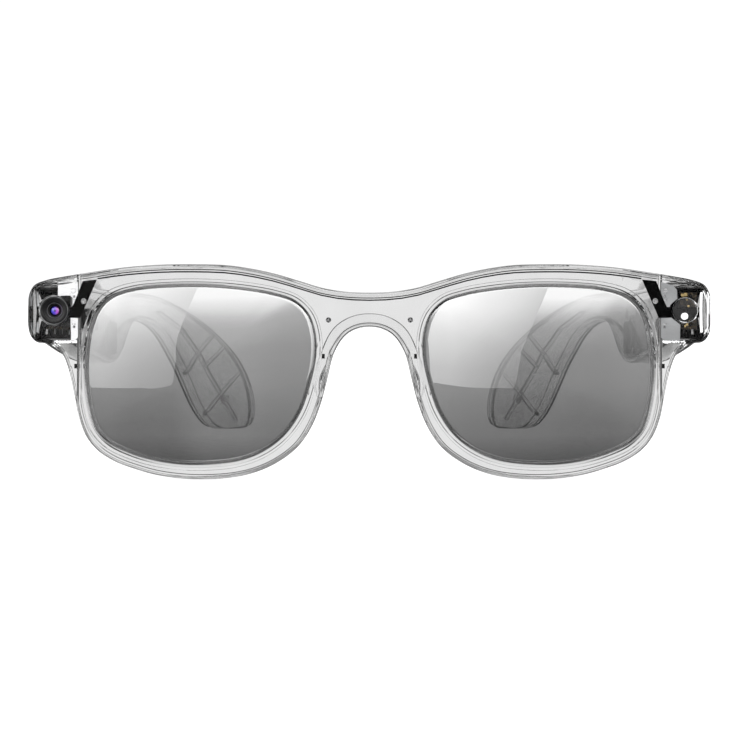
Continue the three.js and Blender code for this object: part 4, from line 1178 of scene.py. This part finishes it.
def world():
    """White where the camera looks past the object. For light that bends or bounces: bright behind, at the
    sides and overhead, with dark gaps between that draw the edges of clear plastic."""
    made = bpy.data.worlds.new("studio")
    bpy.context.scene.world = made
    made.use_nodes = True
    tree = made.node_tree
    back = tree.nodes["Background"]
    place = place_parts(tree, "Generated")
    heading = node(tree, "ShaderNodeMath", operation="ARCTAN2")
    tree.links.new(place["X"], heading.inputs[0])
    tree.links.new(place["Y"], heading.inputs[1])
    turn = node(tree, "ShaderNodeMapRange")
    turn.inputs["From Min"].default_value = -math.pi
    turn.inputs["From Max"].default_value = math.pi
    tree.links.new(heading.outputs["Value"], turn.inputs["Value"])
    levels = [(0.0, 0.8), (0.02, 1.4), (0.045, 1.4), (0.06, 0.12), (0.085, 0.12), (0.1, 0.6), (0.2, 0.8),
              (0.3, 0.8), (0.312, 0.08), (0.333, 0.08), (0.345, 0.75), (0.4, 0.7), (0.418, 0.08),
              (0.44, 0.08), (0.457, 0.82), (0.543, 0.82), (0.56, 0.08), (0.582, 0.08), (0.6, 0.65),
              (0.655, 0.7), (0.667, 0.08), (0.688, 0.08), (0.7, 0.65), (0.85, 0.6), (0.9, 0.5),
              (0.915, 0.1), (0.935, 0.1), (0.955, 0.5), (1.0, 0.8)]
    ring = ramp(tree, turn.outputs["Result"], levels)
    tilt = node(tree, "ShaderNodeMapRange")
    tilt.inputs["From Min"].default_value = -1
    tree.links.new(place["Z"], tilt.inputs["Value"])
    heights = [(0.0, 0.75), (0.085, 0.8), (0.095, 0.08), (0.13, 0.08), (0.145, 0.8), (0.245, 0.8),
               (0.258, 0.24), (0.292, 0.24), (0.31, 0.85), (0.4, 1), (0.6, 1), (0.655, 0.8),
               (0.675, 0.1), (0.72, 0.1), (0.76, 0.5), (0.85, 0.5)]
    band = ramp(tree, tilt.outputs["Result"], heights)
    top = ramp(tree, tilt.outputs["Result"], [(0.86, 0.0), (0.92, 1)])
    whole = mixed(tree, "LIGHTEN", mixed(tree, "MULTIPLY", ring, band), top)
    tree.links.new(whole, back.inputs["Color"])
    seen = node(tree, "ShaderNodeBackground")
    seen.inputs["Color"].default_value = (1, 1, 1, 1)
    seen.inputs["Strength"].default_value = 1.05
    path = node(tree, "ShaderNodeLightPath")
    pick = node(tree, "ShaderNodeMixShader")
    tree.links.new(path.outputs["Is Camera Ray"], pick.inputs["Fac"])
    tree.links.new(back.outputs["Background"], pick.inputs[1])
    tree.links.new(seen.outputs["Background"], pick.inputs[2])
    tree.links.new(pick.outputs["Shader"], tree.nodes["World Output"].inputs["Surface"])


def settings():
    scene = bpy.context.scene
    scene.view_settings.view_transform = "Standard"
    scene.view_settings.look = "None"
    scene.cycles.max_bounces = 24
    scene.cycles.transmission_bounces = 24
    scene.cycles.transparent_max_bounces = 16


# ---- everything ---------------------------------------------------------------------------------

def dress_cad():
    """Materials and fine bevels for the CAD pieces that stay."""
    slots = {part["node"]: part["material_slot"] for part in frame["record"]["subparts"]}
    for name, made in frame["nodes"].items():
        made.data.materials.clear()
        made.data.materials.append(MATERIALS[slots[name]])
        edge = made.modifiers.new("edge", "BEVEL")
        edge.width, edge.segments = 0.12 * MM, 2
        edge.limit_method, edge.angle_limit = "ANGLE", math.radians(40)
        made.data.polygons.foreach_set("use_smooth", [True] * len(made.data.polygons))
        made.data.set_sharp_from_angle(angle=math.radians(40))


camera()
world()
stage()
cards()
settings()
dress_cad()
front_shell()
rear_shell()
nose_saddle()
strips()
light_unit()
camera_unit()
for side_name, side in SIDES.items():
    lens(f"{side_name}_lens", side)
    rivets(side_name, side)
    housing(side_name, side)
    carrier(side_name, side)
    temple(side_name, side)
    temple_cover(side_name, side)
    temple_filling(side_name, side)
    speaker_unit(side_name, side)
